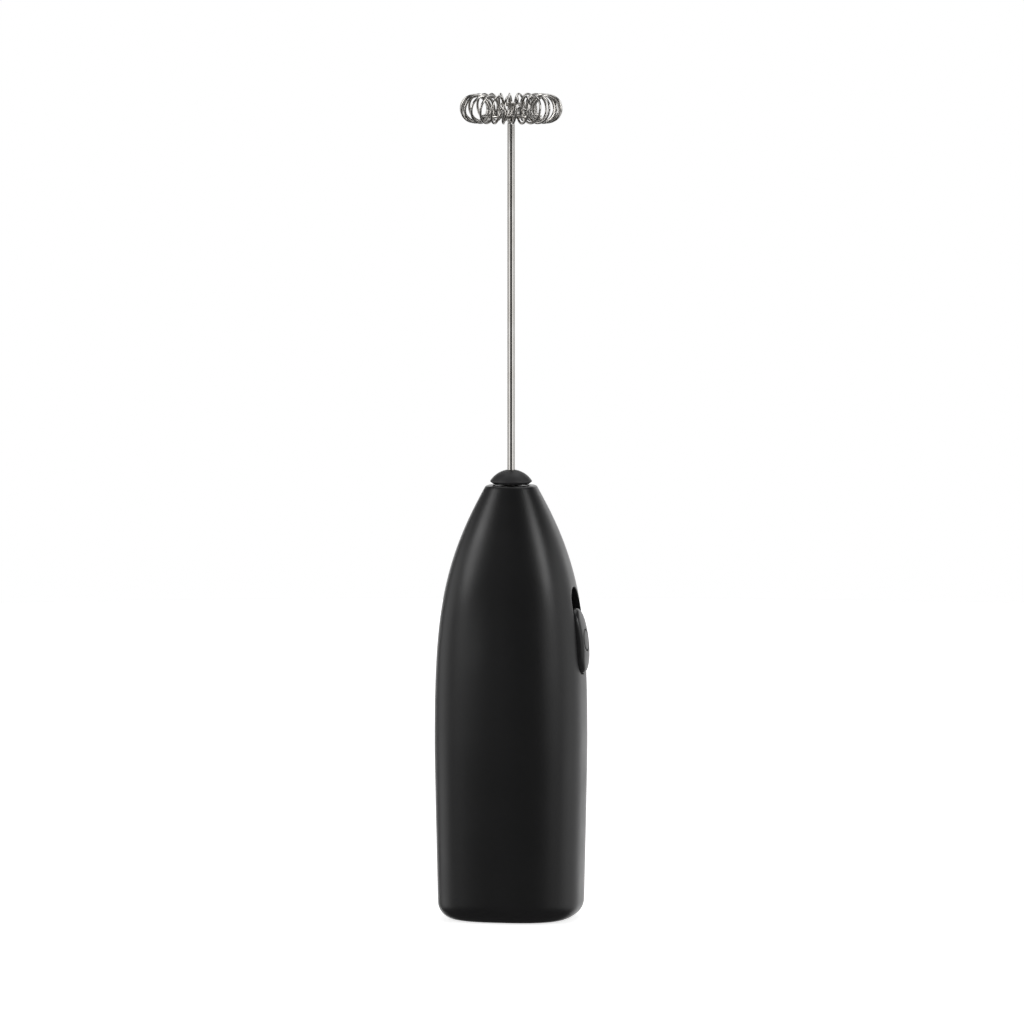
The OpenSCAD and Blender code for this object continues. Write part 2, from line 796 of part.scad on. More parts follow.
strip_foot = motor_z + 2.1;
module fixed_contacts() {
    x = cheek_x + cradle_t;
    color(brass_color)
        for (s = [-1, 1])
            translate([0, s * contact_y, 0])
                box([x, -contact_w / 2 - 0.4, strip_foot], [x + plate_t, contact_w / 2 + 0.4, cradle_top]);
}

// ---- Leads ----

lead_d = 1.1;
strip_x = cheek_x + cradle_t + plate_t / 2;
module lead_battery() {
    color([0.1, 0.1, 0.1])
        lead([[tail_x, tail_y, lead_z], [tail_x, tail_y, lead_z + 1], [tail_x - 0.6, tail_y, lead_z + 2.4],
            [strip_x, contact_y, strip_foot - 2], [strip_x, contact_y, strip_foot]], lead_d);
}
module lead_motor() {
    color([0.7, 0.1, 0.1])
        lead([[-tail_x, tail_y, lead_z], [-tail_x, tail_y, lead_z + 1], [-tail_x + 1, tail_y, lead_z + 2],
            [-5, terminal_y, lead_z], [-1, terminal_y, lead_z]], lead_d);
}
module lead_switch() {
    color([0.7, 0.1, 0.1])
        lead([[strip_x, -contact_y, strip_foot], [strip_x, -contact_y, strip_foot - 2.4],
            [5, -terminal_y, lead_z], [1, -terminal_y, lead_z]], lead_d);
}

front_shell();
rear_shell();
battery_door();
battery_tray();
motor_cradle();
tray_screws();
cradle_screws();
rear_screw();
cell_left();
cell_right();
cell_bridge();
cell_spring();
negative_spring();
negative_contact();
positive_contact();
motor_can();
motor_end_cap();
motor_magnets();
motor_terminals();
motor_brushes();
noise_capacitor();
rotor_shaft();
rotor_core();
rotor_windings();
commutator();
shaft_coupling();
nose_bush();
nose_seal();
whisk_rod();
splash_collar();
whisk_prongs();
whisk_hub();
whisk_ring();
whisk_coil();
switch_button();
switch_slider();
sliding_contact();
fixed_contacts();
lead_battery();
lead_motor();
lead_switch();
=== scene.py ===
"""Looks of a battery milk frother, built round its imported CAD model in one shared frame.

Lengths in this file are in millimetres until a mesh is made; meshes, lights and the camera
are in metres, in the frame of the CAD model.
"""

import json
import logging
import math
from dataclasses import dataclass
from enum import Enum
from functools import cache

import bmesh
import bpy
import numpy as np
from mathutils import Matrix, Vector

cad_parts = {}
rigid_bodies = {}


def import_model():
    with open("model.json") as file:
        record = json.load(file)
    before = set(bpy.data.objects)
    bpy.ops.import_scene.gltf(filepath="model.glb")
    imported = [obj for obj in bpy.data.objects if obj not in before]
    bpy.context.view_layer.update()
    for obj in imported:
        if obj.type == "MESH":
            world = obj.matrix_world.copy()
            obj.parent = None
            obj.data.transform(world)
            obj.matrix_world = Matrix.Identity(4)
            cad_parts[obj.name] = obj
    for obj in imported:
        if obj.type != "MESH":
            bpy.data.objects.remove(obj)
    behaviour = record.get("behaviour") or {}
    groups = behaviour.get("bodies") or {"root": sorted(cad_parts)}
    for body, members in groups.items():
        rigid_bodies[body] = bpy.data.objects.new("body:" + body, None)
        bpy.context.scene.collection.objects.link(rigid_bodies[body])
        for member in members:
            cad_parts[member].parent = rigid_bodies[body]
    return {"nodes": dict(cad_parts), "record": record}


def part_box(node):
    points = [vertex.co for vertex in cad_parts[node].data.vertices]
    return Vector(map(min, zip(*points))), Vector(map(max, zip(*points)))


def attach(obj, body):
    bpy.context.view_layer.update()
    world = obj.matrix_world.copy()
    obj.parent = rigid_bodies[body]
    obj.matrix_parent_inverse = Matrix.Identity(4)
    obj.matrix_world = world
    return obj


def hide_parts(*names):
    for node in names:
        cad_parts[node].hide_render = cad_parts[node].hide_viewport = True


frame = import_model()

LOG = logging.getLogger("milk_frother")
MM = 0.001
# The motor's end cap, and the button's middle above that cap's foot, in millimetres.
END_CAP_HEIGHT = 4.4
BUTTON_RISE = 4.85
Point = tuple[float, float]


# ---------------------------------------------------------------- nodes and finishes


def linear(hex_code: str) -> tuple[float, float, float, float]:
    """Turns an sRGB colour into a linear one.

    Args:
        hex_code: the colour as "#rrggbb".

    Returns:
        Red, green, blue and an alpha of 1.
    """
    parts = [int(hex_code[i:i + 2], 16) / 255 for i in (1, 3, 5)]
    values = [c / 12.92 if c <= 0.04045 else ((c + 0.055) / 1.055) ** 2.4 for c in parts]
    return (*values, 1.0)


def add(tree: bpy.types.NodeTree, kind: str, settings: dict | None = None,
        links: dict | None = None) -> bpy.types.Node:
    """Adds one node with its settings and links.

    Args:
        tree: the tree that the node goes in.
        kind: Blender's name for the kind of node.
        settings: values, by socket name, socket number or name of a property.
        links: the sockets that feed it, by input name or number.

    Returns:
        The new node.
    """
    node = tree.nodes.new(kind)
    for key, value in (settings or {}).items():
        if isinstance(key, str) and key not in node.inputs:
            setattr(node, key, value)
    for key, value in (settings or {}).items():
        if isinstance(key, int) or key in node.inputs:
            node.inputs[key].default_value = value
    for key, source in (links or {}).items():
        tree.links.new(source, node.inputs[key])
    return node


def put_in(name: str, data: bpy.types.ID) -> bpy.types.Object:
    """Makes an object of a mesh, a light or a camera and puts it in the scene."""
    obj = bpy.data.objects.new(name, data)
    bpy.context.scene.collection.objects.link(obj)
    return obj


def box_mm(node: str) -> tuple[Vector, Vector]:
    """A CAD node's lowest and highest corners in millimetres."""
    low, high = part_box(node)
    return low / MM, high / MM


@dataclass(frozen=True)
class Finish:
    """What one surface is made of and how it was made.

    Attributes:
        name: the material's name.
        slot: the record's material slot.
        colour: the main colour, sRGB.
        roughness: how far the surface spreads a reflection.
        grain: size of the surface's texture, in millimetres.
        relief: depth of that texture, in millimetres.
    """

    name: str
    slot: str
    colour: str
    roughness: float
    grain: float
    relief: float

    def material(self) -> bpy.types.Material:
        """Makes the material once and returns it."""
        found = bpy.data.materials.get(self.name)
        if found:
            return found
        material = bpy.data.materials.new(self.name)
        material.use_nodes = True
        material.diffuse_color = linear(self.colour)
        tree = material.node_tree
        tree.nodes.clear()
        shader = add(tree, "ShaderNodeBsdfPrincipled", {"Base Color": linear(self.colour)})
        add(tree, "ShaderNodeOutputMaterial", links={"Surface": shader.outputs["BSDF"]})
        place = add(tree, "ShaderNodeTexCoord").outputs["Object"]
        self.dress(tree, shader, place)
        return material

    def dress(self, tree: bpy.types.NodeTree, shader: bpy.types.Node,
              place: bpy.types.NodeSocket) -> None:
        """Wires the surface's own nodes; each kind of finish has its own."""
        raise NotImplementedError

    def pattern(self, tree: bpy.types.NodeTree, place: bpy.types.NodeSocket, size: float,
                detail: float = 2.0, stretch: Vector | None = None) -> bpy.types.NodeSocket:
        """Noise whose blots have a real size.

        Args:
            tree: the material's tree.
            place: coordinates in metres.
            size: width of one blot in millimetres.
            detail: how many finer layers it has.
            stretch: how much longer a blot is along each axis.

        Returns:
            The noise's value, about 0.5 on average.
        """
        if stretch:
            scale = [1 / max(s, 1e-6) for s in stretch]
            place = add(tree, "ShaderNodeMapping", {"Scale": scale},
                        {"Vector": place}).outputs["Vector"]
        noise = add(tree, "ShaderNodeTexNoise",
                    {"Scale": 0.5 / (size * MM), "Detail": detail, "Roughness": 0.6},
                    {"Vector": place})
        return noise.outputs["Fac"]

    def spread(self, tree: bpy.types.NodeTree, value: bpy.types.NodeSocket, low: float,
               high: float) -> bpy.types.NodeSocket:
        """Maps a noise's usual range, 0.3 to 0.7, to low and high."""
        mapped = add(tree, "ShaderNodeMapRange",
                     {"From Min": 0.3, "From Max": 0.7, "To Min": low, "To Max": high},
                     {"Value": value})
        return mapped.outputs["Result"]

    def dull(self, tree: bpy.types.NodeTree, shader: bpy.types.Node,
             value: bpy.types.NodeSocket, low: float, high: float) -> None:
        """Lets the roughness range from low to high, as a pattern says."""
        tree.links.new(self.spread(tree, value, low, high), shader.inputs["Roughness"])

    def raise_grain(self, tree: bpy.types.NodeTree, shader: bpy.types.Node,
                    height: bpy.types.NodeSocket, strength: float = 1.0) -> None:
        """Presses a height pattern into the surface to the finish's own depth."""
        bump = add(tree, "ShaderNodeBump", {"Strength": strength, "Distance": self.relief * MM},
                   {"Height": height})
        tree.links.new(bump.outputs["Normal"], shader.inputs["Normal"])

    def tint(self, tree: bpy.types.NodeTree, shader: bpy.types.Node,
             amount: bpy.types.NodeSocket, other: str, share: float) -> None:
        """Lets the colour drift towards another by up to a share, as a pattern says."""
        factor = add(tree, "ShaderNodeMath", {"operation": "MULTIPLY", 1: share}, {0: amount})
        mixed = add(tree, "ShaderNodeMix",
                    {"data_type": "RGBA", 6: linear(self.colour), 7: linear(other)},
                    {0: factor.outputs[0]})
        tree.links.new(mixed.outputs[2], shader.inputs["Base Color"])


@dataclass(frozen=True)
class MouldedPlastic(Finish):
    """Injection-moulded plastic: the mould's spark-eroded texture shows as a fine satin grain,
    handling polishes it in soft patches, and raised edges are rubbed a little lighter."""

    worn: str = "#3a3a3c"
    wear: float = 0.25
    ior: float = 1.5
    gloss_drift: float = 0.05

    def dress(self, tree: bpy.types.NodeTree, shader: bpy.types.Node,
              place: bpy.types.NodeSocket) -> None:
        """Grain in the bump, patches in the roughness, rubbed edges in the colour."""
        shader.inputs["IOR"].default_value = self.ior
        grain = self.pattern(tree, place, self.grain, 3.0)
        patches = self.pattern(tree, place, 14.0, 3.0)
        self.dull(tree, shader, patches, self.roughness - self.gloss_drift,
                            self.roughness + self.gloss_drift)
        edge = add(tree, "ShaderNodeNewGeometry").outputs["Pointiness"]
        rubbed = add(tree, "ShaderNodeMapRange",
                     {"From Min": 0.52, "From Max": 0.62, "To Min": 0.0, "To Max": 1.0},
                     {"Value": edge})
        specks = self.spread(tree, self.pattern(tree, place, 1.6, 4.0), 0.2, 1.0)
        amount = add(tree, "ShaderNodeMath", {"operation": "MULTIPLY"},
                     {0: rubbed.outputs["Result"], 1: specks})
        self.tint(tree, shader, amount.outputs[0], self.worn, self.wear)
        self.raise_grain(tree, shader, grain)


@dataclass(frozen=True)
class DrawnSteel(Finish):
    """Stainless wire and rod: drawing through a die leaves hair-fine lines along the length,
    and polishing leaves a mirror with slightly duller streaks."""

    line_length: float = 40.0
    warm: str = "#b9b4ac"

    def dress(self, tree: bpy.types.NodeTree, shader: bpy.types.Node,
              place: bpy.types.NodeSocket) -> None:
        """Long lines in bump and roughness over a bright metal."""
        shader.inputs["Metallic"].default_value = 1.0
        stretch = Vector((1.0, 1.0, self.line_length))
        lines = self.pattern(tree, place, self.grain, 2.0, stretch)
        haze = self.pattern(tree, place, 3.0, 2.0)
        both = add(tree, "ShaderNodeMath", {"operation": "MULTIPLY_ADD", 1: 0.5, 2: 0.25},
                   {0: lines})
        rough = add(tree, "ShaderNodeMath", {"operation": "MULTIPLY"},
                    {0: both.outputs[0], 1: self.spread(tree, haze, self.roughness * 1.4,
                                                        self.roughness * 2.6)})
        tree.links.new(rough.outputs[0], shader.inputs["Roughness"])
        self.tint(tree, shader, self.spread(tree, haze, 0.0, 1.0), self.warm, 0.5)
        self.raise_grain(tree, shader, lines, 0.25)


@dataclass(frozen=True)
class StampedMetal(Finish):
    """Sheet metal cut and bent by a press, then plated: rolling marks run one way, and the
    plating is dull in patches where fingers and heat have touched it."""

    tarnish: str = "#6d5a34"

    def dress(self, tree: bpy.types.NodeTree, shader: bpy.types.Node,
              place: bpy.types.NodeSocket) -> None:
        """Rolling marks in the bump, tarnish in the colour and roughness."""
        shader.inputs["Metallic"].default_value = 1.0
        marks = self.pattern(tree, place, self.grain, 2.0, Vector((18.0, 1.0, 1.0)))
        blots = self.pattern(tree, place, 2.5, 4.0)
        self.dull(tree, shader, blots, self.roughness, self.roughness + 0.16)
        self.tint(tree, shader, self.spread(tree, blots, 0.0, 1.0), self.tarnish, 0.35)
        self.raise_grain(tree, shader, marks, 0.5)


@dataclass(frozen=True)
class WoundCopper(Finish):
    """Enamelled wire laid side by side: fine ridges across the coil under a glossy varnish
    that has pooled unevenly."""

    varnish: str = "#5a2410"

    def dress(self, tree: bpy.types.NodeTree, shader: bpy.types.Node,
              place: bpy.types.NodeSocket) -> None:
        """Wave ridges one wire apart, and varnish in the colour."""
        shader.inputs["Metallic"].default_value = 1.0
        shader.inputs["Coat Weight"].default_value = 0.5
        ridges = add(tree, "ShaderNodeTexWave",
                     {"bands_direction": "Z", "Scale": 0.32 / (self.grain * MM),
                      "Distortion": 0.6, "Detail": 1.0}, {"Vector": place})
        pooled = self.pattern(tree, place, 1.2, 3.0)
        self.dull(tree, shader, pooled, self.roughness, self.roughness + 0.2)
        self.tint(tree, shader, self.spread(tree, pooled, 0.0, 1.0), self.varnish, 0.6)
        self.raise_grain(tree, shader, ridges.outputs["Fac"])


@dataclass(frozen=True)
class SinteredPart(Finish):
    """Pressed and fired powder, such as ferrite or a dipped ceramic disc: a dull, slightly
    gritty face with tiny pits."""

    pit: str = "#101012"

    def dress(self, tree: bpy.types.NodeTree, shader: bpy.types.Node,
              place: bpy.types.NodeSocket) -> None:
        """Pits in the bump and colour."""
        grit = self.pattern(tree, place, self.grain, 4.0)
        self.dull(tree, shader, grit, self.roughness, self.roughness + 0.12)
        self.tint(tree, shader, self.spread(tree, grit, 0.0, 1.0), self.pit, 0.4)
        self.raise_grain(tree, shader, grit)


@dataclass(frozen=True)
class SoftSkin(Finish):
    """Rubber or soft vinyl: nearly matt, with a bloom that shows as paler clouds."""

    bloom: str = "#4a4a4a"

    def dress(self, tree: bpy.types.NodeTree, shader: bpy.types.Node,
              place: bpy.types.NodeSocket) -> None:
        """Clouds in the colour and roughness over a fine skin."""
        cloud = self.pattern(tree, place, 2.2, 3.0)
        self.dull(tree, shader, cloud, self.roughness - 0.08, self.roughness + 0.08)
        self.tint(tree, shader, self.spread(tree, cloud, 0.0, 1.0), self.bloom, 0.25)
        self.raise_grain(tree, shader, self.pattern(tree, place, self.grain, 2.0), 0.6)


@dataclass(frozen=True)
class ShrunkJacket(Finish):
    """A cell's printed film, shrunk on over the can: glossy, with a darker band towards the
    positive end and faint creases round the shoulders."""

    band: str = "#15181c"
    band_from: float = 44.0

    def dress(self, tree: bpy.types.NodeTree, shader: bpy.types.Node,
              place: bpy.types.NodeSocket) -> None:
        """A plain band by height, creases in the bump and a clear coat."""
        shader.inputs["Coat Weight"].default_value = 0.35
        shader.inputs["Coat Roughness"].default_value = 0.12
        height = add(tree, "ShaderNodeSeparateXYZ", links={"Vector": place}).outputs["Z"]
        above = add(tree, "ShaderNodeMapRange",
                    {"From Min": self.band_from * MM, "From Max": (self.band_from + 0.15) * MM},
                    {"Value": height})
        self.tint(tree, shader, above.outputs["Result"], self.band, 1.0)
        cloud = self.pattern(tree, place, 5.0, 2.0)
        self.dull(tree, shader, cloud, self.roughness, self.roughness + 0.1)
        creases = self.pattern(tree, place, self.grain, 2.0, Vector((1.0, 1.0, 8.0)))
        self.raise_grain(tree, shader, creases, 0.5)


# Black ABS off a spark-eroded mould: a satin black that spreads the studio's lights in bands.
# The real grain is about 0.05 mm; 0.16 mm is the finest that shows.
SHELL_ABS = MouldedPlastic("moulded_abs_satin_black", "shell_plastic", "#121213",
                           0.36, 0.16, 0.004)
# Thumb button: polished tool, kept smooth by thumbs; its colour a shade lighter as painted light.
BUTTON_ABS = MouldedPlastic("moulded_abs_thumb_polished", "button_plastic", "#19191a",
                            0.33, 0.12, 0.002, worn="#4a4a4c")
# The collar is polypropylene, duller and greyer than the handle because milk and soap etch it.
COLLAR_PP = MouldedPlastic("moulded_polypropylene_charcoal", "collar_plastic", "#2a2a2b",
                           0.5, 0.14, 0.004, worn="#555557", gloss_drift=0.08)
# Unpainted polystyrene of the inner frame: off-white, waxy, with soft flow marks.
FRAME_PS = MouldedPlastic("moulded_polystyrene_natural", "frame_plastic", "#d8d5c8",
                          0.42, 0.3, 0.006, worn="#efece2", wear=0.4)
# The slider behind the slot is black acetal, greasy-smooth from sliding.
SLIDER_POM = MouldedPlastic("moulded_acetal_black", "slider_plastic", "#0c0c0d",
                            0.4, 0.2, 0.004)
# The nose bush is acetal too, turned shiny where the rod runs.
BUSH_POM = MouldedPlastic("moulded_acetal_bush", "bush_plastic", "#1c1c1d", 0.38, 0.2, 0.004)
# The coupling is natural nylon: milky and a little translucent at its edges.
COUPLING_PA = MouldedPlastic("moulded_nylon_natural", "coupling_plastic", "#dedbd0",
                             0.35, 0.25, 0.004, worn="#f0eee6")
CAP_PA = MouldedPlastic("moulded_nylon_end_cap", "end_cap_plastic", "#e2e0d8",
                        0.38, 0.25, 0.004, worn="#f2f0ea")
# Polished drawn 18/8 stainless: a mirror broken by hairlines along the rod.
ROD_STEEL = DrawnSteel("drawn_stainless_polished", "stainless_wire", "#c9c7c4",
                       0.1, 0.05, 0.0006)
# The whisk's wire is the same steel; its lines are too short on a bent wire to run far.
WIRE_STEEL = DrawnSteel("drawn_stainless_spring_wire", "stainless_wire", "#bfbdba",
                        0.13, 0.08, 0.0008, line_length=3.0)
SPRING_STEEL = DrawnSteel("drawn_nickel_plated_spring", "contact_steel", "#b8b6b0",
                          0.16, 0.08, 0.001, line_length=3.0)
CONTACT_STEEL = StampedMetal("stamped_nickel_plated_steel", "contact_steel", "#b4b1a8",
                             0.22, 0.12, 0.002, tarnish="#7c776a")
BRASS = StampedMetal("stamped_brass", "contact_brass", "#c8a45c", 0.24, 0.12, 0.002)
SCREW_STEEL = StampedMetal("cold_headed_zinc_screw", "screw_steel", "#a9abac",
                           0.26, 0.1, 0.002, tarnish="#77736a")
MOTOR_STEEL = StampedMetal("deep_drawn_zinc_plated_can", "motor_steel", "#b6b8ba",
                           0.24, 0.16, 0.002, tarnish="#86837c")
COPPER = WoundCopper("enamelled_copper_wire", "winding_copper", "#b5622f", 0.2, 0.25, 0.05)
FERRITE = SinteredPart("sintered_ferrite", "magnet_ferrite", "#35353a", 0.55, 0.18, 0.01)
CERAMIC = SinteredPart("dipped_ceramic_disc", "capacitor_ceramic", "#b9772f",
                       0.4, 0.3, 0.012, pit="#7d4a18")
SEAL_RUBBER = SoftSkin("moulded_nitrile_rubber", "seal_rubber", "#161616", 0.62, 0.15, 0.004)
LEAD_BLACK = SoftSkin("extruded_pvc_black", "lead_black", "#18181a", 0.42, 0.2, 0.003)
LEAD_RED = SoftSkin("extruded_pvc_red", "lead_red", "#a31a16", 0.42, 0.2, 0.003,
                    bloom="#c4544c")
JACKET = ShrunkJacket("shrunk_film_jacket", "cell_jacket", "#2f6a4f", 0.28, 0.5, 0.01)
# The cell that stands on its nub has the same film the other way up.
JACKET_DOWN = ShrunkJacket("shrunk_film_jacket_turned", "cell_jacket", "#15181c", 0.28, 0.5,
                           0.01, band="#2f6a4f", band_from=20.0)
CELL_STEEL = StampedMetal("rolled_nickel_cell_end", "cell_jacket", "#bdbab2",
                          0.2, 0.1, 0.001, tarnish="#8a867b")


# ---------------------------------------------------------------- mesh building


class Turn(Enum):
    """Which way a turned piece's axis points."""

    UP = "up"
    TO_BACK = "to the back"

    def matrix(self) -> Matrix:
        """Rotation from +Z to this direction."""
        angle = {Turn.UP: 0.0, Turn.TO_BACK: -90.0}[self]
        return Matrix.Rotation(math.radians(angle), 4, "X")


class Skin:
    """Gathers rows of points, in millimetres, and the faces between them."""

    def __init__(self) -> None:
        """Starts empty."""
        self.points: list[Vector] = []
        self.faces: list[tuple[int, ...]] = []

    def row(self, points: list[Vector]) -> list[int]:
        """Adds points and returns their numbers."""
        start = len(self.points)
        self.points.extend(Vector(p) for p in points)
        return list(range(start, len(self.points)))

    def bridge(self, low: list[int], high: list[int], closed: bool = False) -> None:
        """Joins two equal rows with quads.

        Args:
            low: the first row's point numbers.
            high: the second row's.
            closed: whether the rows run round and meet themselves.
        """
        count = len(low)
        for i in range(count if closed else count - 1):
            k = (i + 1) % count
            self.faces.append((low[i], low[k], high[k], high[i]))

    def disc(self, ring: list[int], steps: int = 4) -> None:
        """Closes a flat ring with smaller rings and a fan about its middle."""
        rim = [self.points[i] for i in ring]
        middle = sum(rim, Vector()) / len(rim)
        for k in range(1, steps):
            inner = self.row([middle.lerp(p, 1 - k / steps) for p in rim])
            self.bridge(ring, inner, closed=True)
            ring = inner
        centre = self.row([middle])[0]
        for i, p in enumerate(ring):
            self.faces.append((p, ring[(i + 1) % len(ring)], centre))

    def build(self, name: str, finish: Finish, crease: float = 38.0) -> bpy.types.Object:
        """Makes the object, with doubles merged and faces turned outwards.

        Args:
            name: the piece's name.
            finish: its finish.
            crease: edges sharper than this many degrees stay crisp.

        Returns:
            The object, at the origin, in metres.
        """
        mesh = bpy.data.meshes.new(name)
        mesh.from_pydata([p * MM for p in self.points], [], self.faces)
        mesh.materials.append(finish.material())
        tidy(mesh, crease)
        return put_in(name, mesh)


def tidy(mesh: bpy.types.Mesh, crease: float, merge: float = 2e-7) -> None:
    """Merges doubles, turns faces outwards and shades smooth up to a crease.

    Args:
        mesh: the mesh to tidy in place.
        crease: edges sharper than this many degrees stay crisp.
        merge: points nearer than this many metres become one.
    """
    work = bmesh.new()
    work.from_mesh(mesh)
    bmesh.ops.remove_doubles(work, verts=work.verts, dist=merge)
    bmesh.ops.dissolve_degenerate(work, edges=work.edges, dist=merge)
    bmesh.ops.recalc_face_normals(work, faces=work.faces)
    work.to_mesh(mesh)
    work.free()
    mesh.shade_smooth()
    mesh.set_sharp_from_angle(angle=math.radians(crease))


def rounded(profile: list[Point], radius: float | list[float], steps: int = 4,
            closed: bool = False) -> list[Point]:
    """Rounds the corners of a profile.

    Args:
        profile: the corners, as (radius, height).
        radius: one rounding for every corner, or one for each.
        steps: points on each rounded corner, less one.
        closed: whether the last corner leads back to the first.

    Returns:
        The profile with an arc for each corner.
    """
    count = len(profile)
    sizes = radius if isinstance(radius, list) else [radius] * count
    made: list[Point] = []
    for i, corner in enumerate(profile):
        if sizes[i] <= 0 or (not closed and i in (0, count - 1)):
            made.append(corner)
            continue
        here = Vector(corner)
        before = Vector(profile[i - 1]) - here
        after = Vector(profile[(i + 1) % count]) - here
        half = before.angle(after) / 2
        reach = min(sizes[i] / math.tan(half), before.length * 0.48, after.length * 0.48)
        start = here + before.normalized() * reach
        end = here + after.normalized() * reach
        for k in range(steps + 1):
            t = k / steps
            p = start * (1 - t) ** 2 + here * 2 * t * (1 - t) + end * t ** 2
            made.append((p.x, p.y))
    return made


def turned(profile: list[Point], name: str, finish: Finish, *, sides: int = 96,
           foot: Vector | None = None, turn: Turn = Turn.UP, closed: bool = False,
           crease: float = 38.0) -> bpy.types.Object:
    """Turns a profile about an axis.

    Args:
        profile: (radius, height) points, from the axis or round a closed section.
        name: the piece's name.
        finish: its finish.
        sides: how many flats make the round.
        foot: where height 0 of the axis is.
        turn: which way the axis points.
        closed: whether the profile is a closed section.
        crease: edges sharper than this many degrees stay crisp.

    Returns:
        The object.
    """
    skin = Skin()
    place = Matrix.Translation(foot or Vector()) @ turn.matrix()
    angles = [math.tau * i / sides for i in range(sides)]
    rows = [skin.row([place @ Vector((r * math.cos(a), r * math.sin(a), h)) for a in angles])
            for r, h in profile]
    for low, high in zip(rows, rows[1:]):
        skin.bridge(low, high, closed=True)
    if closed:
        skin.bridge(rows[-1], rows[0], closed=True)
    return skin.build(name, finish, crease)


def block(low: Vector, high: Vector, name: str, finish: Finish,
          edge: float = 0.3) -> bpy.types.Object:
    """Makes a moulded block with rounded edges between two corners, in millimetres."""
    mesh = bpy.data.meshes.new(name)
    work = bmesh.new()
    bmesh.ops.create_cube(work, size=1.0)
    size = high - low
    for vert in work.verts:
        vert.co = Vector((vert.co[i] * size[i] for i in range(3))) + (low + high) / 2
    bmesh.ops.bevel(work, geom=work.edges[:], offset=edge, segments=3, profile=0.5,
                    affect="EDGES")
    bmesh.ops.scale(work, verts=work.verts, vec=(MM, MM, MM))
    work.to_mesh(mesh)
    work.free()
    mesh.materials.append(finish.material())
    tidy(mesh, 38.0)
    return put_in(name, mesh)


def settle(obj: bpy.types.Object, crease: float = 38.0) -> bpy.types.Object:
    """Makes an object's modifiers final in a plain mesh and removes them."""
    bpy.context.view_layer.update()
    graph = bpy.context.evaluated_depsgraph_get()
    mesh = bpy.data.meshes.new_from_object(obj.evaluated_get(graph), depsgraph=graph)
    mesh.name = obj.name
    obj.modifiers.clear()
    obj.data = mesh
    tidy(mesh, crease)
    return obj


def carve(body: bpy.types.Object, tools: list[bpy.types.Object], adding: bool) -> None:
    """Adds solids to a solid, or takes them away, and removes the tools.

    Args:
        body: the solid that changes.
        tools: the solids that go on or come off.
        adding: True to add.
    """
    for tool in tools:
        cut = body.modifiers.new("carve", "BOOLEAN")
        cut.operation = "UNION" if adding else "DIFFERENCE"
        cut.solver = "EXACT"
        cut.object = tool
    settle(body)
    for tool in tools:
        bpy.data.objects.remove(tool)


def softened_copy(node: str, name: str, finish: Finish, edge: float) -> bpy.types.Object:
    """Copies a CAD node, merges its triangles and rounds its edges.

    Args:
        node: the CAD node.
        name: the new piece's name.
        finish: its finish.
        edge: radius of the rounding in millimetres.

    Returns:
        The new piece, which stands for the node.
    """
    mesh = frame["nodes"][node].data.copy()
    mesh.name = name
    work = bmesh.new()
    work.from_mesh(mesh)
    bmesh.ops.remove_doubles(work, verts=work.verts, dist=2e-6)
    bmesh.ops.dissolve_limit(work, angle_limit=math.radians(1.0), verts=work.verts,
                             edges=work.edges)
    work.to_mesh(mesh)
    work.free()
    mesh.materials.clear()
    mesh.materials.append(finish.material())
    obj = put_in(name, mesh)
    bevel = obj.modifiers.new("edges", "BEVEL")
    bevel.width = edge * MM
    bevel.segments = 2
    bevel.limit_method = "ANGLE"
    bevel.angle_limit = math.radians(40)
    bevel.use_clamp_overlap = True
    settle(obj)
    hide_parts(node)
    return obj


# ---------------------------------------------------------------- geometry-node trees


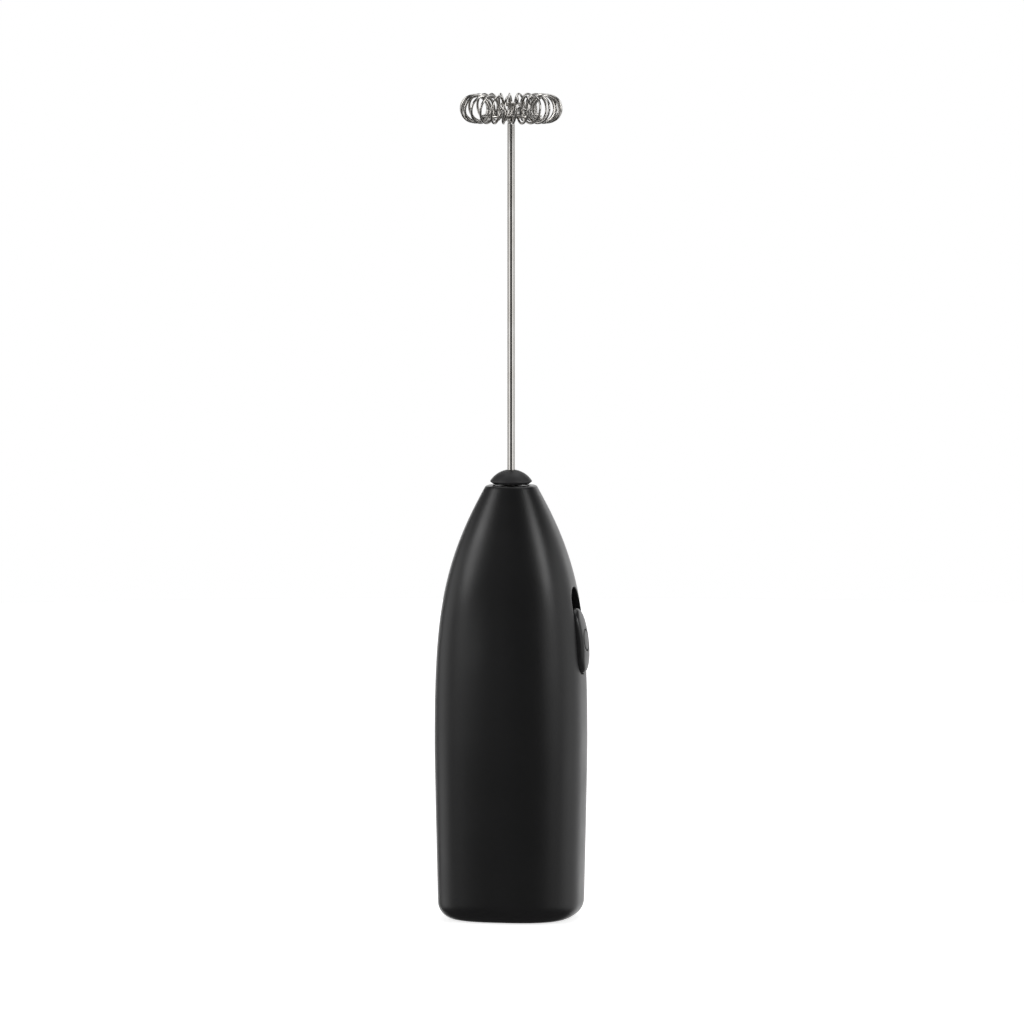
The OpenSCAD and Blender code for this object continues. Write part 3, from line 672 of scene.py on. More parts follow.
class Recipe:
    """A geometry-node tree with named inputs, and the piece that it grows."""

    def __init__(self, name: str, inputs: dict[str, str]) -> None:
        """Makes an empty tree.

        Args:
            name: the tree's name.
            inputs: each input's name and kind of socket.
        """
        self.tree = bpy.data.node_groups.new(name, "GeometryNodeTree")
        face = self.tree.interface
        face.new_socket(name="Geometry", in_out="INPUT", socket_type="NodeSocketGeometry")
        self.ids = {key: face.new_socket(name=key, in_out="INPUT", socket_type=kind).identifier
                    for key, kind in {**inputs, "Finish": "NodeSocketMaterial"}.items()}
        face.new_socket(name="Geometry", in_out="OUTPUT", socket_type="NodeSocketGeometry")
        self.given = self.tree.nodes.new("NodeGroupInput").outputs

    def maths(self, operation: str, first: object, second: object = 0.0) -> bpy.types.NodeSocket:
        """Adds one sum of two values or sockets and returns its result."""
        values = {i: v for i, v in enumerate((first, second))
                  if not isinstance(v, bpy.types.NodeSocket)}
        links = {i: v for i, v in enumerate((first, second))
                 if isinstance(v, bpy.types.NodeSocket)}
        return add(self.tree, "ShaderNodeMath", {"operation": operation, **values},
                   links).outputs[0]

    def wire(self, path: bpy.types.Node, capped: bool) -> bpy.types.NodeSocket:
        """Sweeps a round wire of the input "Wire radius" along a curve."""
        section = add(self.tree, "GeometryNodeCurvePrimitiveCircle", {"Resolution": 10},
                      {"Radius": self.given["Wire radius"]})
        swept = add(self.tree, "GeometryNodeCurveToMesh", {"Fill Caps": capped}, {
            "Curve": path.outputs["Geometry"], "Profile Curve": section.outputs["Curve"]})
        return swept.outputs["Mesh"]

    def close(self, shape: bpy.types.NodeSocket) -> None:
        """Ends the tree: smooth faces, instances made real, and the finish."""
        smooth = add(self.tree, "GeometryNodeSetShadeSmooth", links={"Geometry": shape})
        real = add(self.tree, "GeometryNodeRealizeInstances",
                   links={"Geometry": smooth.outputs["Geometry"]})
        dressed = add(self.tree, "GeometryNodeSetMaterial",
                      links={"Geometry": real.outputs["Geometry"],
                             "Material": self.given["Finish"]})
        out = self.tree.nodes.new("NodeGroupOutput")
        self.tree.links.new(dressed.outputs["Geometry"], out.inputs[0])

    def grow(self, name: str, finish: Finish, values: dict[str, object],
             seed: bpy.types.Mesh | None = None) -> bpy.types.Object:
        """Runs the tree and keeps its result as a plain mesh.

        Args:
            name: the piece's name.
            finish: its finish.
            values: each input's value, by name.
            seed: the mesh that the tree starts from, where it needs one.

        Returns:
            The piece.
        """
        obj = put_in(name, seed or bpy.data.meshes.new(name))
        growth = obj.modifiers.new("growth", "NODES")
        growth.node_group = self.tree
        for key, value in {**values, "Finish": finish.material()}.items():
            growth[self.ids[key]] = value
        return settle(obj)


def wound_ring() -> Recipe:
    """Tree for a wire that winds round a circle, loop after loop, and closes on itself."""
    recipe = Recipe("wound_ring", {
        "Turns": "NodeSocketInt", "Steps": "NodeSocketInt", "Ring radius": "NodeSocketFloat",
        "Loop radius": "NodeSocketFloat", "Wire radius": "NodeSocketFloat",
        "Height": "NodeSocketFloat"})
    tree, given = recipe.tree, recipe.given
    count = recipe.maths("MULTIPLY", given["Turns"], given["Steps"])
    path = add(tree, "GeometryNodeCurvePrimitiveCircle", {"Radius": 1.0}, {"Resolution": count})
    index = add(tree, "GeometryNodeInputIndex").outputs[0]
    share = recipe.maths("DIVIDE", index, count)
    around = recipe.maths("MULTIPLY", share, math.tau)
    loop = recipe.maths("MULTIPLY", around, given["Turns"])
    out = recipe.maths("ADD", given["Ring radius"],
                       recipe.maths("MULTIPLY", recipe.maths("COSINE", loop),
                                    given["Loop radius"]))
    up = recipe.maths("ADD", given["Height"],
                      recipe.maths("MULTIPLY", recipe.maths("SINE", loop),
                                   given["Loop radius"]))
    place = add(tree, "ShaderNodeCombineXYZ", links={
        0: recipe.maths("MULTIPLY", out, recipe.maths("COSINE", around)),
        1: recipe.maths("MULTIPLY", out, recipe.maths("SINE", around)), 2: up})
    wound = add(tree, "GeometryNodeSetPosition", links={
        "Geometry": path.outputs["Curve"], "Position": place.outputs[0]})
    recipe.close(recipe.wire(wound, False))
    return recipe


def cone_spring() -> Recipe:
    """Tree for a conical spring whose end turns lie nearly flat."""
    recipe = Recipe("cone_spring", {
        "Turns": "NodeSocketFloat", "Foot radius": "NodeSocketFloat",
        "Top radius": "NodeSocketFloat", "Rise": "NodeSocketFloat",
        "Wire radius": "NodeSocketFloat", "Foot": "NodeSocketVector"})
    tree, given = recipe.tree, recipe.given
    path = add(tree, "GeometryNodeCurveSpiral", {"Resolution": 40}, {
        "Rotations": given["Turns"], "Start Radius": given["Foot radius"],
        "End Radius": given["Top radius"], "Height": given["Rise"]})
    spot = add(tree, "GeometryNodeInputPosition").outputs[0]
    parts = add(tree, "ShaderNodeSeparateXYZ", links={0: spot})
    share = recipe.maths("DIVIDE", parts.outputs[2], given["Rise"])
    eased = add(tree, "ShaderNodeMapRange", {"interpolation_type": "SMOOTHSTEP"},
                {"Value": share})
    height = recipe.maths("MULTIPLY", eased.outputs["Result"], given["Rise"])
    flat_ends = recipe.maths("ADD", recipe.maths("MULTIPLY", height, 0.45),
                             recipe.maths("MULTIPLY", parts.outputs[2], 0.55))
    place = add(tree, "ShaderNodeCombineXYZ",
                links={0: parts.outputs[0], 1: parts.outputs[1], 2: flat_ends})
    shaped = add(tree, "GeometryNodeSetPosition", links={
        "Geometry": path.outputs["Curve"], "Position": place.outputs[0],
        "Offset": given["Foot"]})
    recipe.close(recipe.wire(shaped, True))
    return recipe


@cache
def set_out() -> Recipe:
    """Tree that sets one made piece on each point of a seed mesh, such as screws on seats."""
    recipe = Recipe("set_out", {"Piece": "NodeSocketObject", "Turn": "NodeSocketRotation",
                                "Step angle": "NodeSocketFloat"})
    tree, given = recipe.tree, recipe.given
    piece = add(tree, "GeometryNodeObjectInfo", {"As Instance": True},
                {"Object": given["Piece"]})
    index = add(tree, "GeometryNodeInputIndex").outputs[0]
    spin = add(tree, "ShaderNodeCombineXYZ",
               links={2: recipe.maths("MULTIPLY", index, given["Step angle"])})
    step = add(tree, "FunctionNodeEulerToRotation", links={0: spin.outputs[0]})
    turn = add(tree, "FunctionNodeRotateRotation",
               links={0: given["Turn"], 1: step.outputs[0]})
    placed = add(tree, "GeometryNodeInstanceOnPoints", links={
        "Points": given["Geometry"], "Instance": piece.outputs["Geometry"],
        "Rotation": turn.outputs[0]})
    recipe.close(placed.outputs["Instances"])
    return recipe


def seats(points: list[Vector], name: str) -> bpy.types.Mesh:
    """Makes a mesh of single points, in millimetres, for pieces to be set on."""
    mesh = bpy.data.meshes.new(name)
    mesh.from_pydata([p * MM for p in points], [], [])
    return mesh


# ---------------------------------------------------------------- the handle's rule


@dataclass
class Outline:
    """The rule that gives the handle its shape, level by level.

    Every section is a rounded square whose width, depth and squareness change with height.
    """

    height: float = 113.6
    width: float = 39.0
    depth: float = 37.0
    nose: float = 13.1
    wall: float = 1.8
    foot_radius: float = 4.5
    rim_radius: float = 0.4
    seam_share: float = 0.29
    nose_squareness: float = 2.1
    base_squareness: float = 2.75
    crown_power: float = 4.5
    crown_root: float = 0.573
    taper: float = 0.048

    def __post_init__(self) -> None:
        """Works out the levels that follow from the height."""
        self.crown_z = self.height * 0.264
        self.taper_z = self.height * 0.414
        share = 1 - (self.nose / self.width) ** self.crown_root
        self.crown_reach = (self.height - self.crown_z) / share ** (1 / self.crown_power)

    def crown(self, z: float) -> float:
        """How full the section is, from 1 below the crown to a third at the nose."""
        if z <= self.crown_z:
            return 1.0
        climb = min(1.0, (z - self.crown_z) / self.crown_reach)
        return (1 - climb ** self.crown_power) ** (1 / self.crown_root)

    def half_x(self, z: float) -> float:
        """Half of the width at a level."""
        low = max(0.0, self.taper_z - z) / self.taper_z
        return self.width / 2 * self.crown(z) * (1 - self.taper * low ** 1.2)

    def half_y(self, z: float) -> float:
        """Half of the depth at a level."""
        return self.half_x(z) * (1 + (self.depth / self.width - 1) * self.crown(z))

    def squareness(self, z: float) -> float:
        """The section's power: 2 is an ellipse, more is squarer."""
        gain = self.base_squareness - self.nose_squareness
        return self.nose_squareness + gain * self.crown(z) ** 0.7

    def seam_y(self, z: float) -> float:
        """Where the parting line runs at a level."""
        return self.seam_share * self.half_y(z)

    def at_y(self, y: float, z: float, inset: float, side: int) -> Vector:
        """The outline's point at a given y, on the right (1) or the left (-1)."""
        half = self.half_y(z) - inset
        power = self.squareness(z)
        reach = max(0.0, 1 - (abs(y) / half) ** power) ** (1 / power)
        return Vector((side * (self.half_x(z) - inset) * reach, y, z))

    def arc(self, z: float, inset: float, end_y: float, count: int,
            rear: bool) -> list[Vector]:
        """Points spaced evenly along one side of the seam.

        Args:
            z: the level.
            inset: how far in from the outer surface.
            end_y: where both ends of the arc are.
            count: how many points.
            rear: True for the arc behind, from right to left; else in front, left to right.

        Returns:
            The points.
        """
        a, b = self.half_x(z) - inset, self.half_y(z) - inset
        power = self.squareness(z)
        end = self.at_y(end_y, z, inset, 1)
        turn = math.atan2(end.y, end.x)
        first, last = (turn, math.pi - turn) if rear else (-math.pi - turn, turn)
        angle = np.linspace(first, last, 361)

        def walk(t: np.ndarray) -> tuple[np.ndarray, np.ndarray]:
            """The outline's points at these angles."""
            c, s = np.cos(t), np.sin(t)
            rho = (np.abs(c / a) ** power + np.abs(s / b) ** power) ** (-1 / power)
            return rho * c, rho * s

        x, y = walk(angle)
        run = np.concatenate([[0], np.cumsum(np.hypot(np.diff(x), np.diff(y)))])
        x, y = walk(np.interp(np.linspace(0, run[-1], count), run, angle))
        return [Vector((float(p), float(q), z)) for p, q in zip(x, y)]


def quarter(steps: int) -> list[float]:
    """Angles of a quarter turn in equal steps, in radians."""
    return [math.pi / 2 * k / steps for k in range(steps + 1)]


def levels(low: float, high: float, step: float) -> list[float]:
    """Heights from low to high, about a step apart."""
    count = max(1, math.ceil((high - low) / step))
    return [low + (high - low) * i / count for i in range(count + 1)]


@dataclass
class SwitchPlace:
    """Where the thumb switch sits: its middle, its slide and its slot."""

    centre: Vector
    slide: Vector
    button_h: float = 17.3
    button_w: float = 8.6
    travel: float = 5.2
    fit: float = 0.25

    def __post_init__(self) -> None:
        """Works out the frame's outward direction and the slot's sizes."""
        self.outward = Vector((self.slide.z, 0, -self.slide.x))
        self.slot_h = self.button_h + self.travel + 2 * self.fit
        self.slot_w = self.button_w + 2 * self.fit
        self.straight = (self.slot_h - self.slot_w) / 2

    def place(self, out: float, across: float, along: float) -> Vector:
        """A point of the switch's own frame, in the model's frame."""
        return self.centre + self.outward * out + Vector((0, across, 0)) + self.slide * along

    def across_along(self, point: Vector) -> Point:
        """A point's place on the switch's own face."""
        off = point - self.centre
        return off.y, off.dot(self.slide)


@dataclass
class Handle:
    """The moulded housing: front shell with its base cup, rear shell and battery door."""

    outline: Outline
    switch: SwitchPlace
    joint_z: float = 5.0
    door_top: float = 66.0
    gap: float = 0.25
    door_slope: float = 0.27
    slope_reach: float = 12.0
    edge: float = 0.15
    front_columns: int = 110
    rear_columns: int = 76
    row_step: float = 1.1
    groove_radius: float = 1.5
    groove_length: float = 12.0
    slot_lip: float = 0.35
    slot_lip_share: float = 0.35
    slot_patch: float = 8.5
    slot_margin: float = 2.2
    screw_head_radius: float = 1.9
    boss_radius: float = 2.2
    boss_hole: float = 1.0
    front_power: float = 2.7
    front_root: float = 0.37
    hook_half: float = 5.0

    def seam_edge(self, z: float) -> float:
        """Radius of the rounded seam edge: smaller where the slot runs close to it."""
        slot = self.switch
        off = abs((z - slot.centre.z) / slot.slide.z - slot.travel / 2)
        if off > slot.slot_h / 2 + 1:
            return min(self.edge, max(0.0, z - self.joint_z) / 4)
        beyond = max(0.0, min(off - slot.straight, slot.slot_w / 2))
        half = math.sqrt((slot.slot_w / 2) ** 2 - beyond ** 2)
        return max(0.02, min(self.edge, 0.3 * (self.outline.seam_y(z) - half)))

    def front_row(self, z: float, inset: float, rounding: float) -> list[Vector]:
        """One level of the front, from the left seam round to the right seam.

        Args:
            z: the level.
            inset: how far in from the outer surface.
            rounding: how far the seam edge rolls in.

        Returns:
            The points, with three more at each rounded edge.
        """
        shape = self.outline
        edge = max(self.seam_edge(z), 0.02)
        end = shape.seam_y(z)
        main = shape.arc(z, inset, end - edge, self.front_columns, rear=False)
        roll = quarter(3)[1:]
        right = [shape.at_y(end - edge * (1 - math.sin(a)), z,
                            inset + rounding * edge * (1 - math.cos(a)), 1) for a in roll]
        left = [Vector((-p.x, p.y, p.z)) for p in reversed(right)]
        return left + main + right

    def cup_row(self, z: float, inset: float) -> list[Vector]:
        """The same level's points behind the seam, for the base cup, without its two ends."""
        shape = self.outline
        return shape.arc(z, inset, shape.seam_y(z), self.rear_columns + 2, rear=True)[1:-1]

    def on_surface(self, across: float, along: float, inset: float) -> Vector:
        """The shell's point straight under a place on the switch's face."""
        slot, out = self.switch, -inset
        for _ in range(8):
            z = slot.place(out, across, along).z
            x = self.outline.at_y(across, z, inset, 1).x
            out = (x - slot.centre.x - along * slot.slide.x) / slot.outward.x
        return slot.place(out, across, along)

    def slot_edge(self, across: float, along: float) -> tuple[Point, Point]:
        """The slot's edge point that faces a place on the shell, and the way out from it."""
        slot = self.switch
        up = along - slot.travel / 2
        middle = max(-slot.straight, min(slot.straight, up))
        off = Vector((across, up - middle)).normalized() if up != middle else \
            Vector((math.copysign(1, across), 0))
        half = slot.slot_w / 2
        return (off.x * half, middle + off.y * half + slot.travel / 2), (off.x, off.y)

    def open_slot(self, skin: Skin, outer: list[list[int]], inner: list[list[int]]) -> None:
        """Fills the ring of shell round the slot and lines the slot's walls.

        Args:
            skin: the mesh in the making.
            outer: the outer surface's rows of that patch.
            inner: the inner surface's rows of it.
        """
        loops = []
        for rows in (outer, inner):
            loop = rows[0][:-1] + [r[-1] for r in rows[:-1]] + rows[-1][:0:-1] \
                + [r[0] for r in rows[:0:-1]]
            loops.append(loop)
        starts = [self.switch.across_along(skin.points[i]) for i in loops[0]]
        aims = [self.slot_edge(*start) for start in starts]
        rounding = []
        for (edge, _), start in zip(aims, starts):
            room = math.dist(edge, start)
            rounding.append(min(self.slot_lip, self.slot_lip_share * room))
        rings = 7

        def ring(share: float, inset: float) -> list[int]:
            """One loop, a share of the way from the patch's rim to the slot's rounding."""
            made = []
            for start, (edge, way), r in zip(starts, aims, rounding):
                goal = (edge[0] + way[0] * r, edge[1] + way[1] * r)
                across = start[0] + (goal[0] - start[0]) * share
                along = start[1] + (goal[1] - start[1]) * share
                made.append(self.on_surface(across, along, inset))
            return skin.row(made)

        def lip(angle: float) -> list[int]:
            """One loop of the rounded lip."""
            made = []
            for (edge, way), r in zip(aims, rounding):
                off, deep = r * (1 - math.sin(angle)), r * (1 - math.cos(angle))
                spot = self.on_surface(edge[0] + way[0] * off, edge[1] + way[1] * off, 0)
                made.append(spot - self.switch.outward * deep)
            return skin.row(made)

        path = [loops[0]] + [ring(k / rings, 0) for k in range(1, rings + 1)]
        path += [lip(a) for a in quarter(4)[1:]]
        wall = self.outline.wall
        path += [skin.row([self.on_surface(*edge, wall) for edge, _ in aims])]
        path += [ring(k / rings, wall) for k in range(rings - 1, 0, -1)] + [loops[1]]
        for low, high in zip(path, path[1:]):
            skin.bridge(low, high, closed=True)

    def front_shell(self) -> bpy.types.Object:
        """Makes the front shell: one closed skin with the base cup, the slot and the bosses."""
        shape, skin = self.outline, Skin()
        radius, wall = shape.foot_radius, shape.wall
        top = shape.height
        low = [(radius * (1 - math.cos(a)), radius * (1 - math.sin(a))) for a in quarter(10)]
        low.append((self.joint_z, 0.0))
        floor = [(wall + (radius - wall) * (1 - math.cos(a)),
                  wall + (radius - wall) * (1 - math.sin(a))) for a in quarter(8)]
        floor.append((self.joint_z, wall))
        slot = self.switch
        slot_low = slot.place(0, 0, slot.travel / 2 - slot.slot_h / 2).z \
            - self.slot_margin
        slot_high = slot.place(0, 0, slot.travel / 2 + slot.slot_h / 2).z \
            + self.slot_margin
        climb = [self.joint_z + d for d in (0.2, 0.5, 1.0)]
        climb += levels(self.joint_z + 1.8, slot_low, self.row_step)
        first = len(climb) - 1
        climb += levels(slot_low, slot_high, 0.75)[1:]
        last = len(climb) - 1
        climb += levels(slot_high, top - shape.rim_radius - 0.4, self.row_step)[1:]
        rim = [(top - shape.rim_radius * (1 - math.sin(a)),
                shape.rim_radius * (1 - math.cos(a))) for a in quarter(6)]
        high = [(z, 0.0) for z in climb] + rim
        out_low = [skin.row(self.front_row(z, i, 0) + self.cup_row(z, i)) for z, i in low]
        in_low = [skin.row(self.front_row(z, i, 0) + self.cup_row(z, i)) for z, i in floor]
        for rows in (out_low, in_low):
            for a, b in zip(rows, rows[1:]):
                skin.bridge(a, b, closed=True)
            skin.disc(rows[0], 5)
        width = self.front_columns + 6
        out_high = [out_low[-1][:width]] + [skin.row(self.front_row(z, i, 1)) for z, i in high]
        in_high = [in_low[-1][:width]] + [skin.row(self.front_row(z, wall, 0))
                                          for z, _ in high]
        left = next(c for c in range(width) if skin.points[out_high[first + 1][c]].x > 0
                    and skin.points[out_high[first + 1][c]].y > -self.slot_patch)
        right = width - 4
        for rows in (out_high, in_high):
            for k, (a, b) in enumerate(zip(rows, rows[1:])):
                if first < k <= last:
                    skin.bridge(a[:left + 1], b[:left + 1])
                    skin.bridge(a[right:], b[right:])
                else:
                    skin.bridge(a, b)
        patch = [[r[left:right + 1] for r in rows[first + 1:last + 2]]
                 for rows in (out_high, in_high)]
        self.open_slot(skin, *patch)
        for column in (0, width - 1):
            skin.bridge([r[column] for r in out_high], [r[column] for r in in_high])
        skin.bridge(out_high[-1], in_high[-1])
        rear_out = [out_low[-1][width - 1]] + out_low[-1][width:] + [out_low[-1][0]]
        rear_in = [in_low[-1][width - 1]] + in_low[-1][width:] + [in_low[-1][0]]
        skin.bridge(rear_out, rear_in)
        return skin.build("front_shell_moulding", SHELL_ABS)

    def slope_drop(self, y: float, z: float) -> float:
        """How far a level near the door's top edge falls towards the front."""
        near = max(0.0, 1 - abs(z - self.door_top) / self.slope_reach)
        return self.door_slope * (self.outline.half_y(self.door_top) - y) * near

    def rear_row(self, z: float, inset: float, rounding: float,
                 ends_in: float) -> list[Vector]:
        """One level behind the seam, from right to left.

        Args:
            z: the level, before it falls with the door's top edge.
            inset: how far in from the outer surface.
            rounding: how far the seam edges roll in.
            ends_in: how far this row itself rolls in, for a rounded top or bottom edge.

        Returns:
            The points, with three more at each rounded edge.
        """
        def straight(level: float) -> list[Vector]:
            """The row at a level that doesn't fall."""
            shape, edge = self.outline, self.edge
            end = shape.seam_y(level) + self.gap
            main = shape.arc(level, inset + ends_in, end + edge, self.rear_columns, rear=True)
            right = []
            for a in quarter(3)[:0:-1]:
                roll = rounding * edge * (1 - math.cos(a))
                right.append(shape.at_y(end + edge * (1 - math.sin(a)), level,
                                        inset + max(roll, ends_in), 1))
            left = [Vector((-p.x, p.y, p.z)) for p in reversed(right)]
            return right + main + left

        row = straight(z)
        if abs(z - self.door_top) >= self.slope_reach:
            return row
        fallen = {}
        made = []
        for column, p in enumerate(row):
            level = round(z - self.slope_drop(p.y, z), 4)
            if level not in fallen:
                fallen[level] = straight(level)
            made.append(fallen[level][column])
        return made

    def rear_skin(self, low: float, high: float, at_nose: bool) -> Skin:
        """Builds the closed skin of a piece behind the seam.

        Args:
            low: its bottom edge.
            high: its top edge.
            at_nose: whether its top edge is the nose rim.

        Returns:
            The skin.
        """
        shape, skin = self.outline, Skin()
        foot = [(low + self.edge * (1 - math.cos(a)), self.edge * (1 - math.sin(a)))
                for a in quarter(3)]
        if at_nose:
            middle = levels(low + 0.6, high - shape.rim_radius - 0.4, 0.8)
            head = [(high - shape.rim_radius * (1 - math.sin(a)),
                     shape.rim_radius * (1 - math.cos(a))) for a in quarter(6)]
        else:
            fine = high - 13
            middle = levels(low + 0.6, fine, 1.1) + levels(fine, high - 0.5, 0.25)[1:]
            head = [(high - z + low, i) for z, i in reversed(foot)]
        rows = foot + [(z, 0.0) for z in middle] + head
        outer = [self.rear_row(z, 0, 1, i) for z, i in rows]
        inner = [self.rear_row(z, shape.wall, 0, 0) for z, _ in rows]
        if not at_nose:
            outer = [[self.grooved(p) for p in row] for row in outer]
        out, back = [skin.row(r) for r in outer], [skin.row(r) for r in inner]
        for rows_made in (out, back):
            for a, b in zip(rows_made, rows_made[1:]):
                skin.bridge(a, b)
        for k in (0, -1):
            skin.bridge(out[k], back[k])
            skin.bridge([r[k] for r in out], [r[k] for r in back])
        return skin

    def grooved(self, point: Vector) -> Vector:
        """Presses a point of the door into the three thumbnail grooves near its top."""
        reach = abs(point.x) - self.groove_length / 2
        if reach > 0:
            return point
        axis_y = self.outline.half_y(self.door_top) + 0.32 * 2 * self.groove_radius
        deepest = 0.0
        for k in range(3):
            off = point.z - (self.door_top - 4 - 3 * k)
            if abs(off) < self.groove_radius:
                floor = axis_y - math.sqrt(self.groove_radius ** 2 - off ** 2)
                deepest = max(deepest, point.y - floor)
        ease = min(1.0, -reach / 0.9)
        point.y -= deepest * ease * (2 - ease)
        return point

    def make(self) -> None:
        """Makes the three mouldings and puts each on its body."""
        shape = self.outline
        low, high = box_mm("tray_screws")
        front = self.front_shell()
        tray_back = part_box("battery_tray")[0].y / MM
        cradle_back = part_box("motor_cradle")[0].y / MM
        cradle_low, cradle_high = box_mm("cradle_screws")
        radius, hole, head = self.boss_radius, self.boss_hole, self.screw_head_radius
        bosses = []
        spots = [(0.0, z, tray_back) for z in (low.z + head, high.z - head)]
        spots += [(x, (cradle_low.z + cradle_high.z) / 2, cradle_back)
                  for x in (cradle_low.x + head, cradle_high.x - head)]
        for x, z, back in spots:
            reach = 1 - (abs(x) / shape.half_x(z)) ** self.front_power
            wall_y = -shape.half_y(z) * reach ** self.front_root
            length = back - wall_y - shape.wall / 2
            profile = [(0, 0), (radius + 0.5, 0), (radius, 0.8), (radius, length),
                       (hole, length), (hole, 1.2), (0, 1.2)]
            bosses.append(turned(rounded(profile, 0.12, 2), "boss", SHELL_ABS, sides=40,
                                 foot=Vector((x, back - length, z)), turn=Turn.TO_BACK))
        carve(front, bosses + self.seam_lips(), adding=True)
        place(front, "handle", SHELL_ABS, "front_shell")
        rear = self.rear_skin(self.door_top + self.gap, shape.height, True).build(
            "rear_shell_moulding", SHELL_ABS)
        carve(rear, self.tab(), adding=True)
        place(rear, "handle", SHELL_ABS, "rear_shell")
        door = self.rear_skin(self.joint_z + self.gap, self.door_top, False).build(
            "battery_door_moulding", SHELL_ABS)
        carve(door, self.tongue(), adding=True)
        place(door, "battery_door", SHELL_ABS, "battery_door")

    def seam_lips(self) -> list[bpy.types.Object]:
        """Short inner lips behind the left seam, where nothing else closes it."""
        shape, wall = self.outline, self.outline.wall
        root, clear, back = 0.3, 0.1, 0.7
        section = [(-0.9, -root), (-0.45, -root), (-0.05, clear), (self.gap + 0.8, clear),
                   (self.gap + 0.8, back), (-0.9, back)]
        lips = []
        motor_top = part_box("motor_can")[1].z / MM
        bush_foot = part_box("nose_bush")[0].z / MM
        cell_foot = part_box("cell_left")[0].z / MM
        for low, high in ((self.joint_z - 0.5, cell_foot + 1.5),
                          (motor_top - 2.5, bush_foot + 0.7)):
            skin = Skin()
            rows = [skin.row([shape.at_y(shape.seam_y(z) + y, z, wall + inset, -1)
                              for y, inset in section]) for z in levels(low, high, 0.8)]
            for a, b in zip(rows, rows[1:]):
                skin.bridge(a, b, closed=True)
            skin.disc(rows[0], 1)
            skin.disc(rows[-1], 1)
            lips.append(skin.build("seam_lip", SHELL_ABS))
        return lips

    def tab(self) -> list[bpy.types.Object]:
        """The hook that hangs inside the door's top edge and takes a screw."""
        tab_y = self.outline.half_y(self.door_top) - self.outline.wall - 2.8
        foot, top = self.door_top - 4.1, self.door_top + self.gap
        half = self.hook_half
        hang = block(Vector((-half, tab_y, foot)), Vector((half, tab_y + 1.6, top + 3.2)), "tab",
                     SHELL_ABS)
        bridge = block(Vector((-half, tab_y, top + 1.2)),
                       Vector((half, self.outline.half_y(top + 3.2) - 1.26, top + 3.2)),
                       "tab_root", SHELL_ABS)
        return [hang, bridge]

    def tongue(self) -> list[bpy.types.Object]:
        """The door's hook that reaches down into the base cup."""
        shape, foot, half = self.outline, self.joint_z + self.gap, self.hook_half
        tongue_y = shape.half_y(self.joint_z) - shape.wall - 2
        hook = block(Vector((-half, tongue_y, self.joint_z - 1.6)),
                     Vector((half, tongue_y + 1.4, foot + 2.4)), "tongue", SHELL_ABS)
        root = block(Vector((-half, tongue_y, foot + 0.6)),
                     Vector((half, shape.half_y(self.joint_z) - shape.wall * 0.7, foot + 2.4)),
                     "tongue_root", SHELL_ABS)
        return [hook, root]


def place(piece: bpy.types.Object, body: str, finish: Finish, *nodes: str) -> None:
    """Puts a piece on its body, hides the CAD nodes that it stands for and logs its size.

    Args:
        piece: the finished piece.
        body: the CAD body that it rides on.
        finish: its finish; not used.
        nodes: the CAD nodes that it stands for.
    """
    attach(piece, body)
    if nodes:
        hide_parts(*nodes)
    low, high = box_of(piece)
    off = 0.0
    for node in nodes:
        cad_low, cad_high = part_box(node)
        off = max(abs(a - b) for a, b in zip((*low, *high), (*cad_low, *cad_high)))
    LOG.info("%s on %s: %d faces, box within %.2f mm of the CAD", piece.name, body,
             len(piece.data.polygons), off / MM)


def box_of(piece: bpy.types.Object) -> tuple[Vector, Vector]:
    """A piece's lowest and highest corners in metres."""
    spots = np.empty(len(piece.data.vertices) * 3)
    piece.data.vertices.foreach_get("co", spots)
    spots = spots.reshape(-1, 3)
    return Vector(spots.min(0)), Vector(spots.max(0))


# ---------------------------------------------------------------- the switch


